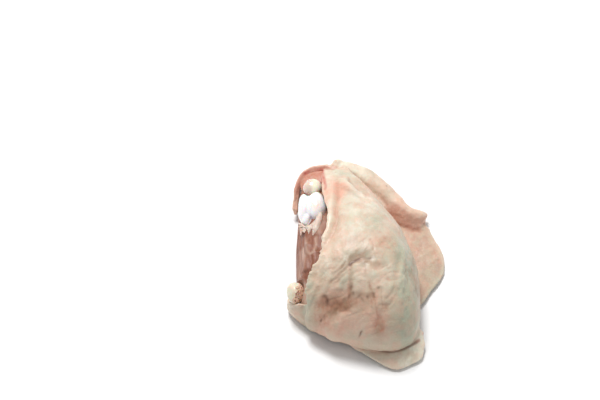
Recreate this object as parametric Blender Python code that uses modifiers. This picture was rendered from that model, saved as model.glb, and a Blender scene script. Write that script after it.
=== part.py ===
# A raw chicken thigh, bone in and skin on, lying skin side up.
# Blender 4.5. +Z is up, +Y runs towards the knee end and +X to the side where the spare skin lies.
# The origin is under the middle of the piece, on the surface that it rests on.
# Plan positions and heights below are in millimetres and become metres when a mesh is made.

import math

import bmesh
import bpy
import numpy as np

MM = 0.001
CLEARANCE = 0.45  # round a piece that sits in another
FLESH_GAP = 1.3  # between the skin and the flesh under it
SKIN_THICKNESS = 2.2
FLAP_THICKNESS = 2.6
CAP_WELD = 0.001  # joins the end caps of a bar to its wall
LIP_THICKNESS = 3.0
BASE_CENTRE = (4.0, 18.5)  # middle of the footprint, which becomes the origin

# The body seen from above, from its right side round by the knee end
CROWN = (-2.0, 12.0)
OUTLINE = [
    (31, 10), (25, 28), (15, 46), (6, 62), (-4, 75), (-14, 81), (-24, 81), (-33, 75), (-38, 60), (-39, 38),
    (-40, 15), (-39, -4), (-36, -17), (-25, -27), (-8, -34), (12, -38), (27, -34), (34, -24), (34, -8),
]
CROWN_HEIGHT = 46.0
KNEE_DROP = 17.0  # how much lower the top is at the knee end
HIP_DROP = 9.0  # how much lower it is at the wide end
SIDE_DROP = 7.0  # how much lower it is at the left side
DOME_POWER = 2.25  # 2 is an ellipse, more is boxier
TUCK = 22.0  # how far the side curls in under the body
COVERED = 0.4  # the share of the underside, out from the base, over which the flesh draws in under the skin
WAIST = [(0, 11.0), (60, 12.0), (100, 16.5), (128, 17.0), (160, 14.5), (200, 12.0), (240, 10.0), (300, 10.0)]

# Where the skin ends: degrees round the crown, and how far out. 1 is the outline, 2 the flat base
HEM = [
    (0, 1.30), (50, 1.24), (85, 1.12), (98, 1.0), (105, 0.74), (124, 0.48), (150, 0.42), (190, 0.50),
    (205, 0.62), (212, 0.76), (218, 0.98), (226, 1.12), (250, 1.30), (300, 1.40), (335, 1.36),
]

# Relief of the skin: each is a place in plan, its length, width and turn in degrees, and its height
RELIEF = [
    (-16, 56, 26, 3.0, 86, 2.2),  # fold along the edge, knee end
    (-17, 24, 22, 3.0, 80, 2.0),  # the same fold, middle
    (-24, 2, 14, 3.2, 58, 1.4),  # the same fold, hip end
    (-11, 44, 24, 2.6, 84, -2.0),  # groove behind the fold
    (-14, 12, 12, 2.6, 66, -1.4),  # the same groove, hip end
    (-7, 70, 17, 3.6, -52, 2.2),  # ridge at the knee end
    (-1, -4, 9, 1.9, 4, -3.0),  # dimple
    (-3, -12, 7, 5.0, 60, 1.8),  # lumps below the dimple
    (-3, -22, 4, 2.6, 0, -1.8),  # small pits below the lumps
    (-21.5, -20.5, 4.5, 3.4, 70, -3.4),  # pit
    (-14, -23, 9, 4.0, -15, -2.0),  # hollow beside the pit
    (13, -20, 15, 12.0, 0, 1.6),  # belly
]

# Where the flesh lies bare on the left: degrees round the crown, and how much of the sinking counts
BARE = [(92, 0), (106, 1), (150, 1), (208, 1), (222, 0), (300, 0)]
BARE_SINK = 1.6
HOLLOW_ROOM = 1.9  # the flesh sinks this much deeper than the skin does in its hollows
FLESH_RELIEF = [
    (-24, 24, 30, 4.6, 84, -4.6),  # hollow beside the skin's edge
    (-35, 10, 20, 3.0, 82, 1.2),  # muscle bundle on the outer side
]

# The hard pieces in the opening: middles, half sizes and the shaft's path
KNEECAP = ((-26.5, 61.0, 26.5), (5.4, 7.0, 5.6))
HIP_CARTILAGE = ((-37.0, -3.6, 17.0), (4.0, 6.6, 5.4))
CONDYLES = [((-31.0, 41.5, 26.0), (4.0, 12.5, 7.5)), ((-26.0, 43.5, 26.0), (4.6, 11.5, 7.5))]
SHAFT = [
    (-28, 42, 24), (-27.4, 28, 26.5), (-27.2, 18, 26.5), (-28.5, 8, 21), (-30.5, -2, 15.5), (-32.5, -9, 14),
]
SHAFT_RADIUS = 4.4

# The spare skin: a flap, a rolled edge, a lip and a rim round the knee. Edges run counter-clockwise in plan
FLAP_INNER = [(29, -4, 5.5), (26, 18, 6), (19, 37, 8.5), (8, 57, 13), (-8, 77, 19)]
FLAP_OUTER = [(34, -6, 3.6), (44.5, 9, 2.8), (48.8, 21, 2.8), (48, 33, 2.8), (45.3, 46, 2.8), (39, 57, 3.4)]
FLAP_RISE = 3.0
ROLL_PATH = [
    (-14, 78, 22.5), (-2, 79, 19), (8, 73.5, 15.5), (16, 66, 12.5), (24.5, 58.5, 10), (33.5, 54, 8), (42, 55.5, 6),
]
ROLL_RADII = [2.0, 4.2, 5.0, 5.6, 6.2, 5.8, 2.4]
LIP_INNER = [(-8, -29, 6.5), (8, -33, 7), (22, -31, 7), (30, -22, 7)]
LIP_OUTER = [
    (-10, -30.5, 6.5), (5.5, -40.5, 5), (13, -45, 3.6), (19, -45.8, 3.4), (31, -38.5, 4), (33.5, -24, 7),
]
RIM_UPPER = [
    (-12.5, 74, 23.5), (-18.5, 78.2, 25), (-25, 80, 24), (-31, 76.3, 22), (-35.6, 68.5, 18.5), (-38, 57, 14.5),
]
RIM_LOWER = [
    (-12, 78.5, 12), (-19, 79.5, 10), (-25.5, 79, 8), (-31.5, 73.5, 7), (-35.5, 65, 7), (-37, 55, 8),
]
RIM_RADII = [1.8, 2.2, 2.2, 2.1, 2.0, 1.2]
RIM_THICKNESS = 2.0


def smooth_through(stations, at, period=None):
    """A smooth curve through (place, value) pairs, read at every place in the array at."""
    places, values = np.array(stations, float).T
    if period:
        places = np.concatenate([places[-2:] - period, places, places[:2] + period])
        values = np.concatenate([values[-2:], values, values[:2]])
    slopes = np.gradient(values, places)
    i = np.clip(np.searchsorted(places, at) - 1, 0, len(places) - 2)
    step = places[i + 1] - places[i]
    t = np.clip((at - places[i]) / step, 0, 1)
    return (
        values[i] * (1 + 2 * t) * (1 - t) ** 2
        + values[i + 1] * t * t * (3 - 2 * t)
        + slopes[i] * step * t * (1 - t) ** 2
        - slopes[i + 1] * step * t * t * (1 - t)
    )


def path_through(points, count, closed=False):
    """Evenly spaced points along a smooth curve through a few given ones."""
    given = np.array(points, float)
    n = len(given)
    if closed:
        given = np.concatenate([given[-2:], given, given[:3]])
    first, last = (2, n + 2) if closed else (0, n - 1)
    knots = np.arange(len(given), dtype=float)
    fine = np.linspace(first, last, 40 * n + 1)
    curve = np.stack([smooth_through(np.stack([knots, column], 1), fine) for column in given.T], 1)
    run = np.concatenate([[0], np.cumsum(np.linalg.norm(np.diff(curve, axis=0), axis=1))])
    wanted = np.linspace(0, run[-1], count + 1 if closed else count)[:count]
    return np.stack([np.interp(wanted, run, column) for column in curve.T], 1)


def crown_height(x, y):
    """Height of the top of the body over a plan position, before the dome rounds it off."""
    knee = np.clip((y - CROWN[1]) / 75.0, 0, None)
    hip = np.clip((CROWN[1] - y) / 55.0, 0, None)
    left = np.clip((CROWN[0] - x) / 40.0, 0, None)
    return CROWN_HEIGHT - KNEE_DROP * knee**1.6 - HIP_DROP * hip**2 - SIDE_DROP * left**1.5


def relief(features, x, y):
    """Sum of soft elongated bumps and hollows over the plan."""
    height = np.zeros_like(x)
    for at_x, at_y, length, width, turn, rise in features:
        c, s = math.cos(math.radians(turn)), math.sin(math.radians(turn))
        along = ((x - at_x) * c + (y - at_y) * s) / length
        across = (-(x - at_x) * s + (y - at_y) * c) / width
        height += rise * np.exp(-(along**2) - across**2)
    return height


def rim_angle(rim):
    """Degrees round the crown of each point of the outline."""
    spoke = rim - np.array(CROWN)
    return np.degrees(np.arctan2(spoke[:, 1], spoke[:, 0])) % 360


def ring_place(share):
    """Turns a share of the way out in plan into the even ring spacing that body_surface reads."""
    out = np.clip(share, 0, 1)
    return 2 / math.pi * np.arcsin(out ** (DOME_POWER / 2)) + np.clip(share - 1, 0, None)


def body_surface(place, rim):
    """The body's surface, by rings from the crown at 0, past the outline at 1, to the flat base at 2."""
    spoke = rim - np.array(CROWN)
    waist = smooth_through(WAIST, rim_angle(rim), 360)
    top = np.clip(place, 0, 1) * math.pi / 2
    under = np.clip(place - 1, 0, 1) * math.pi / 2
    inward = TUCK * (1 - np.cos(under)) / np.linalg.norm(spoke, axis=1)
    scale = np.sin(top) ** (2 / DOME_POWER) - inward
    x = CROWN[0] + spoke[:, 0] * scale
    y = CROWN[1] + spoke[:, 1] * scale
    up = np.cos(top).clip(0) ** (2 / DOME_POWER)
    z = np.where(place <= 1, waist + (crown_height(x, y) - waist) * up, waist * (1 - np.sin(under)))
    return np.stack([x, y, z], -1)


def normals_of(rings):
    """Outward unit normals of rings that run counter-clockwise, from the crown down."""
    down = np.gradient(rings, axis=0)
    wide = np.concatenate([rings[:, -1:], rings, rings[:, :1]], 1)
    normal = np.cross(down, wide[:, 2:] - wide[:, :-2])
    return normal / np.maximum(np.linalg.norm(normal, axis=-1, keepdims=True), 1e-9)


def grid_object(name, grid, collection, pole=None, closed=False):
    """An open surface of quads over a grid of points, with a fan to a pole before its first row."""
    rows, columns = grid.shape[:2]
    shape = bmesh.new()
    verts = [shape.verts.new([c * MM for c in point]) for point in grid.reshape(-1, 3)]
    for r in range(rows - 1):
        for c in range(columns if closed else columns - 1):
            a, b = r * columns + c, r * columns + (c + 1) % columns
            shape.faces.new([verts[a], verts[a + columns], verts[b + columns], verts[b]])
    if pole is not None:
        top = shape.verts.new([c * MM for c in pole])
        for c in range(columns):
            shape.faces.new([top, verts[c], verts[(c + 1) % columns]])
    mesh = bpy.data.meshes.new(name)
    shape.to_mesh(mesh)
    shape.free()
    made = bpy.data.objects.new(name, mesh)
    collection.objects.link(made)
    return made


def evaluated_mesh(target):
    """The mesh that an object has with its modifiers."""
    bpy.context.view_layer.update()
    graph = bpy.context.evaluated_depsgraph_get()
    return bpy.data.meshes.new_from_object(target.evaluated_get(graph))


def bake(target):
    """Applies the modifiers of an object to its mesh."""
    target.data = evaluated_mesh(target)
    target.modifiers.clear()


def thicken(target, thickness):
    """Gives an open surface its thickness on its lower side, and keeps it off the ground."""
    solid = target.modifiers.new("Thickness", "SOLIDIFY")
    solid.thickness = thickness * MM
    solid.offset = -1
    bake(target)
    for vertex in target.data.vertices:
        vertex.co.z = max(vertex.co.z, 0.0)
    return target


def tube(name, path, radii, collection):
    """A round bar along a path, with a radius at each of its given points."""
    count = 2 * len(path)
    curve = bpy.data.curves.new(name, "CURVE")
    curve.dimensions = "3D"
    curve.bevel_depth = MM
    curve.bevel_resolution = 4
    curve.use_fill_caps = True
    spline = curve.splines.new("POLY")
    spline.points.add(count - 1)
    places = np.linspace(0, len(radii) - 1, count)
    widths = np.interp(places, range(len(radii)), radii)
    for point, at, radius in zip(spline.points, path_through(path, count), widths):
        point.co = (*(at * MM), 1)
        point.radius = radius
    line = bpy.data.objects.new(name, curve)
    collection.objects.link(line)
    mesh = evaluated_mesh(line)
    bpy.data.objects.remove(line)
    shape = bmesh.new()
    shape.from_mesh(mesh)
    bmesh.ops.remove_doubles(shape, verts=shape.verts, dist=CAP_WELD * MM)
    shape.to_mesh(mesh)
    shape.free()
    made = bpy.data.objects.new(name, mesh)
    collection.objects.link(made)
    return made


def blob(name, middle, half_sizes, collection, grow=0.0):
    """An ellipsoid, made larger by grow when it serves as a cutter."""
    bpy.ops.mesh.primitive_uv_sphere_add(segments=20, ring_count=12, radius=1.0)
    made = bpy.context.active_object
    made.name = name
    made.location = [c * MM for c in middle]
    made.scale = [(h + grow) * MM for h in half_sizes]
    bpy.ops.object.transform_apply(location=True, rotation=True, scale=True)
    for holder in list(made.users_collection):
        holder.objects.unlink(made)
    collection.objects.link(made)
    return made


def combine(target, others, operation):
    """Joins other closed meshes to the target, or cuts them from it, and removes them."""
    for other in others:
        step = target.modifiers.new("Step", "BOOLEAN")
        step.object = other
        step.operation = operation
        step.solver = "EXACT"
        bake(target)
        bpy.data.objects.remove(other)


def skin_dome(collection, rings=15, segments=76):
    """The skin over the body: an open surface from the crown out to the hem, thickened inwards."""
    rim = path_through(OUTLINE, segments, closed=True)
    hem = ring_place(smooth_through(HEM, rim_angle(rim), 360))
    shares = np.linspace(1 / rings, 1, rings)[:, None]
    grid = body_surface(shares * hem, rim)
    grid = grid + normals_of(grid) * relief(RELIEF, grid[..., 0], grid[..., 1])[..., None]
    crown = (CROWN[0], CROWN[1], CROWN_HEIGHT)
    return thicken(grid_object("skin", grid, collection, crown, True), SKIN_THICKNESS)


def sheet_between(name, inner, outer, thickness, collection, grow, rise=0.0, rows=8, columns=11):
    """A sheet from one edge curve to another, arched in between, and made larger all round by grow."""
    first, last = path_through(inner, columns), path_through(outer, columns)
    for edge in (first, last):
        for end, beside in ((0, 1), (-1, -2)):
            outwards = edge[end] - edge[beside]
            edge[end] += outwards / np.linalg.norm(outwards) * grow
    width = np.linalg.norm(last - first, axis=1).min()
    share = np.linspace(-grow / width, 1 + grow / width, rows)[:, None, None]
    grid = first + (last - first) * share
    grid[..., 2] += rise * np.sin(math.pi * share[..., 0]).clip(0) * np.linspace(0.3, 1, columns) + grow
    return thicken(grid_object(name, grid, collection), thickness + 3 * grow)


def spare_skin(collection, grow=0.0):
    """The skin beyond the body: flap, lip, rolled edge and the rim round the knee."""
    return [
        sheet_between("flap", FLAP_INNER, FLAP_OUTER, FLAP_THICKNESS, collection, grow, FLAP_RISE),
        sheet_between("lip", LIP_INNER, LIP_OUTER, LIP_THICKNESS, collection, grow),
        sheet_between("end", RIM_UPPER, RIM_LOWER, RIM_THICKNESS, collection, grow),
        tube("roll", ROLL_PATH, [r + grow for r in ROLL_RADII], collection),
        tube("rim", RIM_UPPER, [r + grow for r in RIM_RADII], collection),
    ]


def femur_at(name, collection, grow=0.0):
    """The thigh bone: a bent shaft with two condyles at the knee."""
    bone = tube(name, SHAFT, [SHAFT_RADIUS + grow] * len(SHAFT), collection)
    lobes = [blob("condyle", middle, halves, collection, grow) for middle, halves in CONDYLES]
    combine(bone, lobes, "UNION")
    return bone


def hard_cutters(collection):
    """Slightly larger copies of the hard pieces, to make their seats in the soft ones."""
    return [
        femur_at("femur_seat", collection, CLEARANCE),
        blob("kneecap_seat", *KNEECAP, collection, CLEARANCE),
        blob("hip_seat", *HIP_CARTILAGE, collection, CLEARANCE),
    ]


def make_meat(collection, rings=15, segments=56):
    """The muscle: it fills the skin, lies bare on the left and has a flat base."""
    rim = path_through(OUTLINE, segments, closed=True)
    under = 5
    shares = np.concatenate([np.linspace(0.08, 1, rings - under), np.linspace(1.2, 2, under)])[:, None]
    grid = body_surface(np.broadcast_to(shares, (rings, segments)), rim)
    bare = smooth_through(BARE, rim_angle(rim), 360).clip(0, 1) * np.clip(1.25 - shares, 0, 1)
    hollows = relief(RELIEF, grid[..., 0], grid[..., 1]).clip(None, 0)
    inset = SKIN_THICKNESS + FLESH_GAP - HOLLOW_ROOM * hollows
    inset += bare * (BARE_SINK - relief(FLESH_RELIEF, grid[..., 0], grid[..., 1]))
    inset *= np.clip((2 - shares) / COVERED, 0, 1)
    grid = grid - normals_of(grid) * inset[..., None]
    grid[..., 2] = grid[..., 2].clip(0)
    grid[-1, :, 2] = 0.0
    top = (CROWN[0], CROWN[1], CROWN_HEIGHT - SKIN_THICKNESS - FLESH_GAP)
    meat = grid_object("meat", grid, collection, top, True)
    shape = bmesh.new()
    shape.from_mesh(meat.data)
    bmesh.ops.holes_fill(shape, edges=[e for e in shape.edges if e.is_boundary], sides=0)
    bmesh.ops.recalc_face_normals(shape, faces=shape.faces)
    shape.to_mesh(meat.data)
    shape.free()
    return meat


def finish(target, colour, roughness):
    """Gives a piece its material and smooth shading, and puts it over the origin."""
    material = bpy.data.materials.new(target.name)
    material.use_nodes = True
    surface = material.node_tree.nodes["Principled BSDF"]
    surface.inputs["Base Color"].default_value = (*colour, 1)
    surface.inputs["Roughness"].default_value = roughness
    surface.inputs["Metallic"].default_value = 0.0
    target.data.materials.clear()
    target.data.materials.append(material)
    target.data.shade_smooth()
    target.location = (-BASE_CENTRE[0] * MM, -BASE_CENTRE[1] * MM, 0)


def main():
    for old in list(bpy.data.objects):
        bpy.data.objects.remove(old)
    thigh = bpy.data.collections.new("chicken_thigh")
    bpy.context.scene.collection.children.link(thigh)

    femur = femur_at("femur", thigh)
    kneecap = blob("kneecap", *KNEECAP, thigh)
    hip_cartilage = blob("hip_cartilage", *HIP_CARTILAGE, thigh)
    for piece in (kneecap, hip_cartilage):
        combine(piece, [femur_at("femur_seat", thigh, CLEARANCE)], "DIFFERENCE")

    skin = skin_dome(thigh)
    combine(skin, spare_skin(thigh), "UNION")
    combine(skin, hard_cutters(thigh), "DIFFERENCE")
    meat = make_meat(thigh)
    combine(meat, spare_skin(thigh, CLEARANCE) + hard_cutters(thigh), "DIFFERENCE")

    finish(skin, (0.76, 0.58, 0.46), 0.35)
    finish(meat, (0.58, 0.27, 0.2), 0.4)
    finish(femur, (0.86, 0.84, 0.82), 0.3)
    finish(kneecap, (0.82, 0.74, 0.58), 0.3)
    finish(hip_cartilage, (0.84, 0.78, 0.62), 0.35)


main()
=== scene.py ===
# Raw chicken thigh, bone in and skin on, lying skin side up: the finish of every surface.
# Blender 4.5. Lengths are in millimetres on the thigh's plan: x runs across it, y runs towards the knee
# and z is up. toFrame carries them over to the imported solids, which are in metres.

import math

import bpy
import numpy as np
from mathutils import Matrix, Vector


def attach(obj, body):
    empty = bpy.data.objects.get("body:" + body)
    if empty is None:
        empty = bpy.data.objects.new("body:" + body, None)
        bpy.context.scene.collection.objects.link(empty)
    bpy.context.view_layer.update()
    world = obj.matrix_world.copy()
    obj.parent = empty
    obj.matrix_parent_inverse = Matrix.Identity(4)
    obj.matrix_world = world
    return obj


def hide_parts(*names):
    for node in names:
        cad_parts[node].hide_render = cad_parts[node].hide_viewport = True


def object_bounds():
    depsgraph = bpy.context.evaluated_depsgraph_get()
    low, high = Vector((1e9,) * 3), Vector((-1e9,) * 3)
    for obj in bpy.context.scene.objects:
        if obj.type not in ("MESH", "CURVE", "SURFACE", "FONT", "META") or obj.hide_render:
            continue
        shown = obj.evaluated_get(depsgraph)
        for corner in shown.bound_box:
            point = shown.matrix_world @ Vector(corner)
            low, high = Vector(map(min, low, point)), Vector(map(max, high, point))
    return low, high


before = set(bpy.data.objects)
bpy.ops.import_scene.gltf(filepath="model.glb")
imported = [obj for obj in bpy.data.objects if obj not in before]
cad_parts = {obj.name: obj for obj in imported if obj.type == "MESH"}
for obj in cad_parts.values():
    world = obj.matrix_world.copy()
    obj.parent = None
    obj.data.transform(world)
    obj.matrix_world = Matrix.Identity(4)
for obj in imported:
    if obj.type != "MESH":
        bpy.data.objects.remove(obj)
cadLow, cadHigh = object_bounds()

mm = 0.001
planMiddle = (4.0, 18.5)  # the footprint's middle on the plan
frameMiddle = (cadLow + cadHigh) / 2


# Curves and fields


# Cubic through (place, value) pairs: each span blends its end values and end slopes by Hermite weights
def smoothThrough(stations, at, period=None):
    places, values = np.array(stations, float).T
    if period:
        places = np.concatenate([places[-2:] - period, places, places[:2] + period])
        values = np.concatenate([values[-2:], values, values[:2]])
    slopes = np.gradient(values, places)
    i = np.clip(np.searchsorted(places, at) - 1, 0, len(places) - 2)
    step = places[i + 1] - places[i]
    t = np.clip((at - places[i]) / step, 0, 1)
    return (
        values[i] * (1 + 2 * t) * (1 - t) ** 2
        + values[i + 1] * t * t * (3 - 2 * t)
        + slopes[i] * step * t * (1 - t) ** 2
        - slopes[i + 1] * step * t * t * (1 - t)
    )


# Length along a line at each of its points
def lengthAt(line):
    return np.concatenate([[0], np.cumsum(np.linalg.norm(np.diff(line, axis=0), axis=1))])


# Points at equal steps of length along the smooth curve through a few given ones
def pathThrough(points, count, closed=False):
    given = np.array(points, float)
    n = len(given)
    if closed:
        given = np.concatenate([given[-2:], given, given[:3]])
    first, last = (2, n + 2) if closed else (0, n - 1)
    knots = np.arange(len(given), dtype=float)
    fine = np.linspace(first, last, 40 * n + 1)
    curve = np.stack([smoothThrough(np.stack([knots, column], 1), fine) for column in given.T], 1)
    run = lengthAt(curve)
    wanted = np.linspace(0, run[-1], count + 1 if closed else count)[:count]
    return np.stack([np.interp(wanted, run, column) for column in curve.T], 1)


# 0 below low, 1 above high, and 3t^2 - 2t^3 between them
def soft(value, low, high):
    t = np.clip((value - low) / (high - low), 0, 1)
    return t * t * (3 - 2 * t)


# Smooth random field from -1 to 1: hashed values at the corners of a lattice, blended by soft weights
def cloud(points, cell, seed):
    scaled = points / np.array(cell, float)
    corner = np.floor(scaled).astype(np.int64)
    t = scaled - corner
    t = t * t * (3 - 2 * t)
    total = np.zeros(points.shape[:-1])
    for step in np.ndindex(2, 2, 2):
        key = corner + np.array(step)
        mixed = key[..., 0] * 73856093 ^ key[..., 1] * 19349663 ^ key[..., 2] * 83492791 ^ seed * 7919
        mixed = (mixed ^ mixed >> 13) * 1274126177 & 0xFFFFFFFF
        value = ((mixed ^ mixed >> 15) & 0xFFFF) / 32767.5 - 1
        total += value * np.prod(np.where(step, t, 1 - t), axis=-1)
    return total


# Sum of clouds, each with half the cell and half the height of the one before
def clouds(points, cell, seed, layers=3):
    parts = [cloud(points, cell / 2**k, seed + k) / 2**k for k in range(layers)]
    return sum(parts) / sum(0.5**k for k in range(layers))


# Plan places moved about by clouds, so that what is laid on them has uneven borders
def strayed(points, by, cell, seed):
    return [points[..., k] + by * cloud(points, cell, seed + k) for k in range(2)]


# Distances along and across a direction on the plan, from a place
def alongAcross(x, y, atX, atY, turn):
    c, s = math.cos(math.radians(turn)), math.sin(math.radians(turn))
    return (x - atX) * c + (y - atY) * s, -(x - atX) * s + (y - atY) * c


# Soft elongated spots on the plan: rise * exp(-(along / length)^2 - (across / width)^2), summed
def spots(features, x, y):
    total = np.zeros_like(x)
    for atX, atY, length, width, turn, rise in features:
        along, across = alongAcross(x, y, atX, atY, turn)
        total += rise * np.exp(-((along / length) ** 2) - (across / width) ** 2)
    return total


# Lumps in elongated patches: clouds with the lumps' size, at full height in the middle of the patch
def lumpy(patches, points):
    total = np.zeros(points.shape[:-1])
    for number, (atX, atY, length, width, turn, size, height) in enumerate(patches):
        window = spots([(atX, atY, length, width, turn, height)], points[..., 0], points[..., 1])
        total += window * clouds(points * np.array([1, 1, 0.5]), size, 500 + 3 * number, 2)
    return total


# Wrinkles in elongated patches: a field stretched along each patch, folded at 0 into sharp valleys
def wrinkles(patches, points):
    total = np.zeros(points.shape[:-1])
    for number, (atX, atY, length, width, turn, spacing, depth) in enumerate(patches):
        along, across = alongAcross(points[..., 0], points[..., 1], atX, atY, turn)
        window = np.exp(-((along / length) ** 2) - (across / width) ** 2)
        bent = across + 0.9 * spacing * cloud(points, 5 * spacing, 300 + number)
        local = np.stack([along / 5, bent, points[..., 2] * 0.2], -1)
        fold = np.abs(cloud(local, 1.6 * spacing, 40 + number))
        total -= depth * window * (1 - np.minimum(fold * 2.6, 1)) ** 1.5
    return total


# Narrow grooves along lines on the plan: -depth * exp(-(distance / width)^2), fading out at both ends
def grooves(lines, x, y):
    flat = np.stack([np.ravel(x), np.ravel(y)], 1)
    total = np.zeros(len(flat))
    for number, (line, width, depth) in enumerate(lines):
        away, place = nearLine(flat, line)
        fade = soft(place, 0, 0.16) * soft(place, 1, 0.8)
        fade *= 0.85 + 0.35 * cloud(np.column_stack([flat, 0 * away]), 3.4 * width, 400 + number)
        total -= depth * fade * np.exp(-((away / width) ** 2))
    return total.reshape(np.shape(x))


# Ground that sinks slowly to a line from up the plan, by exp(-distance / reach), and rises soon past it
def steps(lines, x, y):
    total = np.zeros(np.shape(x))
    for line, first, last, reach in lines:
        path = pathThrough(line, 24)
        away = y - np.interp(x, path[:, 0], path[:, 1])
        share = (x - path[0, 0]) / (path[-1, 0] - path[0, 0])
        depth = (first + (last - first) * share) * soft(share, -0.05, 0.2) * soft(share, 1, 0.6)
        total -= depth * np.where(away > 0, np.exp(-away / reach), np.exp(-((away / 1.9) ** 2)))
    return total


# Distance from each point to a path, and how far along it the nearest place is, from 0 to 1
def nearPath(points, path):
    start, span = path[:-1], np.diff(path, axis=0)
    best, share = np.full(len(points), 1e9), np.zeros(len(points))
    for k in range(len(span)):
        offset = points - start[k]
        t = np.clip(offset @ span[k] / (span[k] @ span[k]), 0, 1)
        away = np.linalg.norm(offset - t[:, None] * span[k], axis=1)
        closer = away < best
        best = np.where(closer, away, best)
        share = np.where(closer, (k + t) / len(span), share)
    return best, share


# The same for the smooth line through a few given points, on the plan or in space
def nearLine(points, line, count=24):
    return nearPath(points[:, : len(line[0])], pathThrough(line, count))


# 1 within the near distance of a place, and 0 past the far one
def around(points, place, far, near):
    return soft(np.linalg.norm(points - np.array(place), axis=1), far, near)


# Vectors of length 1
def unit(vectors):
    return vectors / np.maximum(np.linalg.norm(vectors, axis=-1, keepdims=True), 1e-9)


# Meshes


# Plan millimetres to the frame's metres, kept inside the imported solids' box
def toFrame(points):
    shift = np.array([frameMiddle.x, frameMiddle.y, 0.0]) - np.array([*planMiddle, 0.0]) * mm
    return np.clip(points * mm + shift, np.array(cadLow) + 0.02 * mm, np.array(cadHigh) - 0.02 * mm)


# Points, quads and triangles of a grid that is closed round its columns and by a fan at each end
def closedGrid(grid):
    rows, columns = grid.shape[:2]
    r, c = np.meshgrid(np.arange(rows - 1), np.arange(columns), indexing="ij")
    a, b = r * columns + c, r * columns + (c + 1) % columns
    quads = np.stack([a, a + columns, b + columns, b], -1).reshape(-1, 4)
    ring, after = np.arange(columns), (np.arange(columns) + 1) % columns
    first, last = rows * columns, rows * columns + 1
    start = np.stack([np.full(columns, first), ring, after], 1)
    end = np.stack([np.full(columns, last), after + (rows - 1) * columns, ring + (rows - 1) * columns], 1)
    points = np.concatenate([grid.reshape(-1, 3), [grid[0].mean(0)], [grid[-1].mean(0)]])
    return points, quads, np.concatenate([start, end])


# Several closed surfaces as one set of points, quads and triangles
def together(shapes):
    counts = np.cumsum([0] + [len(shape[0]) for shape in shapes])
    return [
        np.concatenate([shape[0] for shape in shapes]),
        np.concatenate([shape[1] + start for shape, start in zip(shapes, counts)]),
        np.concatenate([shape[2] + start for shape, start in zip(shapes, counts)]),
    ]


# A mesh with those points and faces, as an object in the scene
def meshObject(name, points, quads, triangles):
    mesh = bpy.data.meshes.new(name)
    corners = np.concatenate([np.ravel(quads), np.ravel(triangles)]).astype(np.int32)
    starts = np.concatenate([np.arange(len(quads)) * 4, len(quads) * 4 + np.arange(len(triangles)) * 3])
    mesh.vertices.add(len(points))
    mesh.loops.add(len(corners))
    mesh.polygons.add(len(starts))
    mesh.vertices.foreach_set("co", np.ravel(points).astype(np.float32))
    mesh.loops.foreach_set("vertex_index", corners)
    mesh.polygons.foreach_set("loop_start", starts.astype(np.int32))
    mesh.update(calc_edges=True)
    made = bpy.data.objects.new(name, mesh)
    bpy.context.scene.collection.objects.link(made)
    return made


# One closed surface round overlapping closed shapes, by a voxel remesh, in metres on the plan
def fused(name, shapes, voxel):
    points, quads, triangles = together(shapes)
    made = meshObject(name, points * mm, quads, triangles)
    remesh = made.modifiers.new("Fuse", "REMESH")
    remesh.mode = "VOXEL"
    remesh.voxel_size = voxel * mm
    bpy.context.view_layer.update()
    graph = bpy.context.evaluated_depsgraph_get()
    made.data = bpy.data.meshes.new_from_object(made.evaluated_get(graph))
    made.modifiers.clear()
    return made


# Where each vertex lies, and which way it faces
def pointsOf(made):
    values = np.zeros(len(made.data.vertices) * 3, np.float32)
    made.data.vertices.foreach_get("co", values)
    return values.reshape(-1, 3).astype(float)


def normalsOf(made):
    values = np.zeros(len(made.data.vertices) * 3, np.float32)
    made.data.vertex_normals.foreach_get("vector", values)
    return values.reshape(-1, 3).astype(float)


def setPoints(made, points):
    made.data.vertices.foreach_set("co", np.ravel(points).astype(np.float32))
    made.data.update()


# Each point moves a share of the way to the mean of its neighbours, in and then a little further out
def relaxed(made, points, rounds, inwards=0.6, outwards=-0.62):
    edges = np.zeros(len(made.data.edges) * 2, np.int32)
    made.data.edges.foreach_get("vertices", edges)
    a, b = edges.reshape(-1, 2).T
    count = len(points)
    neighbours = np.bincount(a, minlength=count) + np.bincount(b, minlength=count)
    for step in [inwards, outwards] * rounds:
        sums = [np.bincount(a, column[b], count) + np.bincount(b, column[a], count) for column in points.T]
        points = points + step * (np.stack(sums, 1) / neighbours[:, None] - points)
    return points


# One value for each vertex, which the materials read by name
def giveField(made, name, values):
    made.data.attributes.new(name, "FLOAT", "POINT").data.foreach_set("value", values.astype(np.float32))


# Carries a piece over to the frame, gives it its material, sets it under the body root and hides the solids
# it stands for
def settle(made, material, slot, *nodes):
    setPoints(made, toFrame(pointsOf(made) / mm))
    made.data.materials.clear()
    made.data.materials.append(material)
    made.data.shade_smooth()
    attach(made, "root")
    if nodes:
        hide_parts(*nodes)
    print(f"{made.name}: {sum(len(p.vertices) - 2 for p in made.data.polygons)} triangles")


# A bar along a path: a ring of points at each place, radius by place, with a round end at both ends
def bar(path, radii, flatten=1.0, columns=28, rows=90, wobble=0.0, seed=0):
    line = pathThrough(path, rows)
    along = unit(np.gradient(line, axis=0))
    side = unit(np.cross(along, [0, 0, 1.0]))
    over = np.cross(side, along)
    radius = smoothThrough(list(enumerate(radii)), np.linspace(0, len(radii) - 1, rows))
    run = lengthAt(line)
    for reach, end in ((run, radius[0]), (run[-1] - run, radius[-1])):
        t = np.clip(reach / end, 0, 1)
        radius = radius * np.sqrt(np.clip(1 - (1 - t) ** 2, 0.01, 1))
    turn = np.linspace(0, 2 * math.pi, columns, endpoint=False)[None, :, None]
    ring = np.cos(turn) * side[:, None] + flatten * np.sin(turn) * over[:, None]
    grid = line[:, None] + radius[:, None, None] * ring
    return closedGrid(grid + wobble * ring * cloud(grid, 7.0, seed)[..., None])


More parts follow.
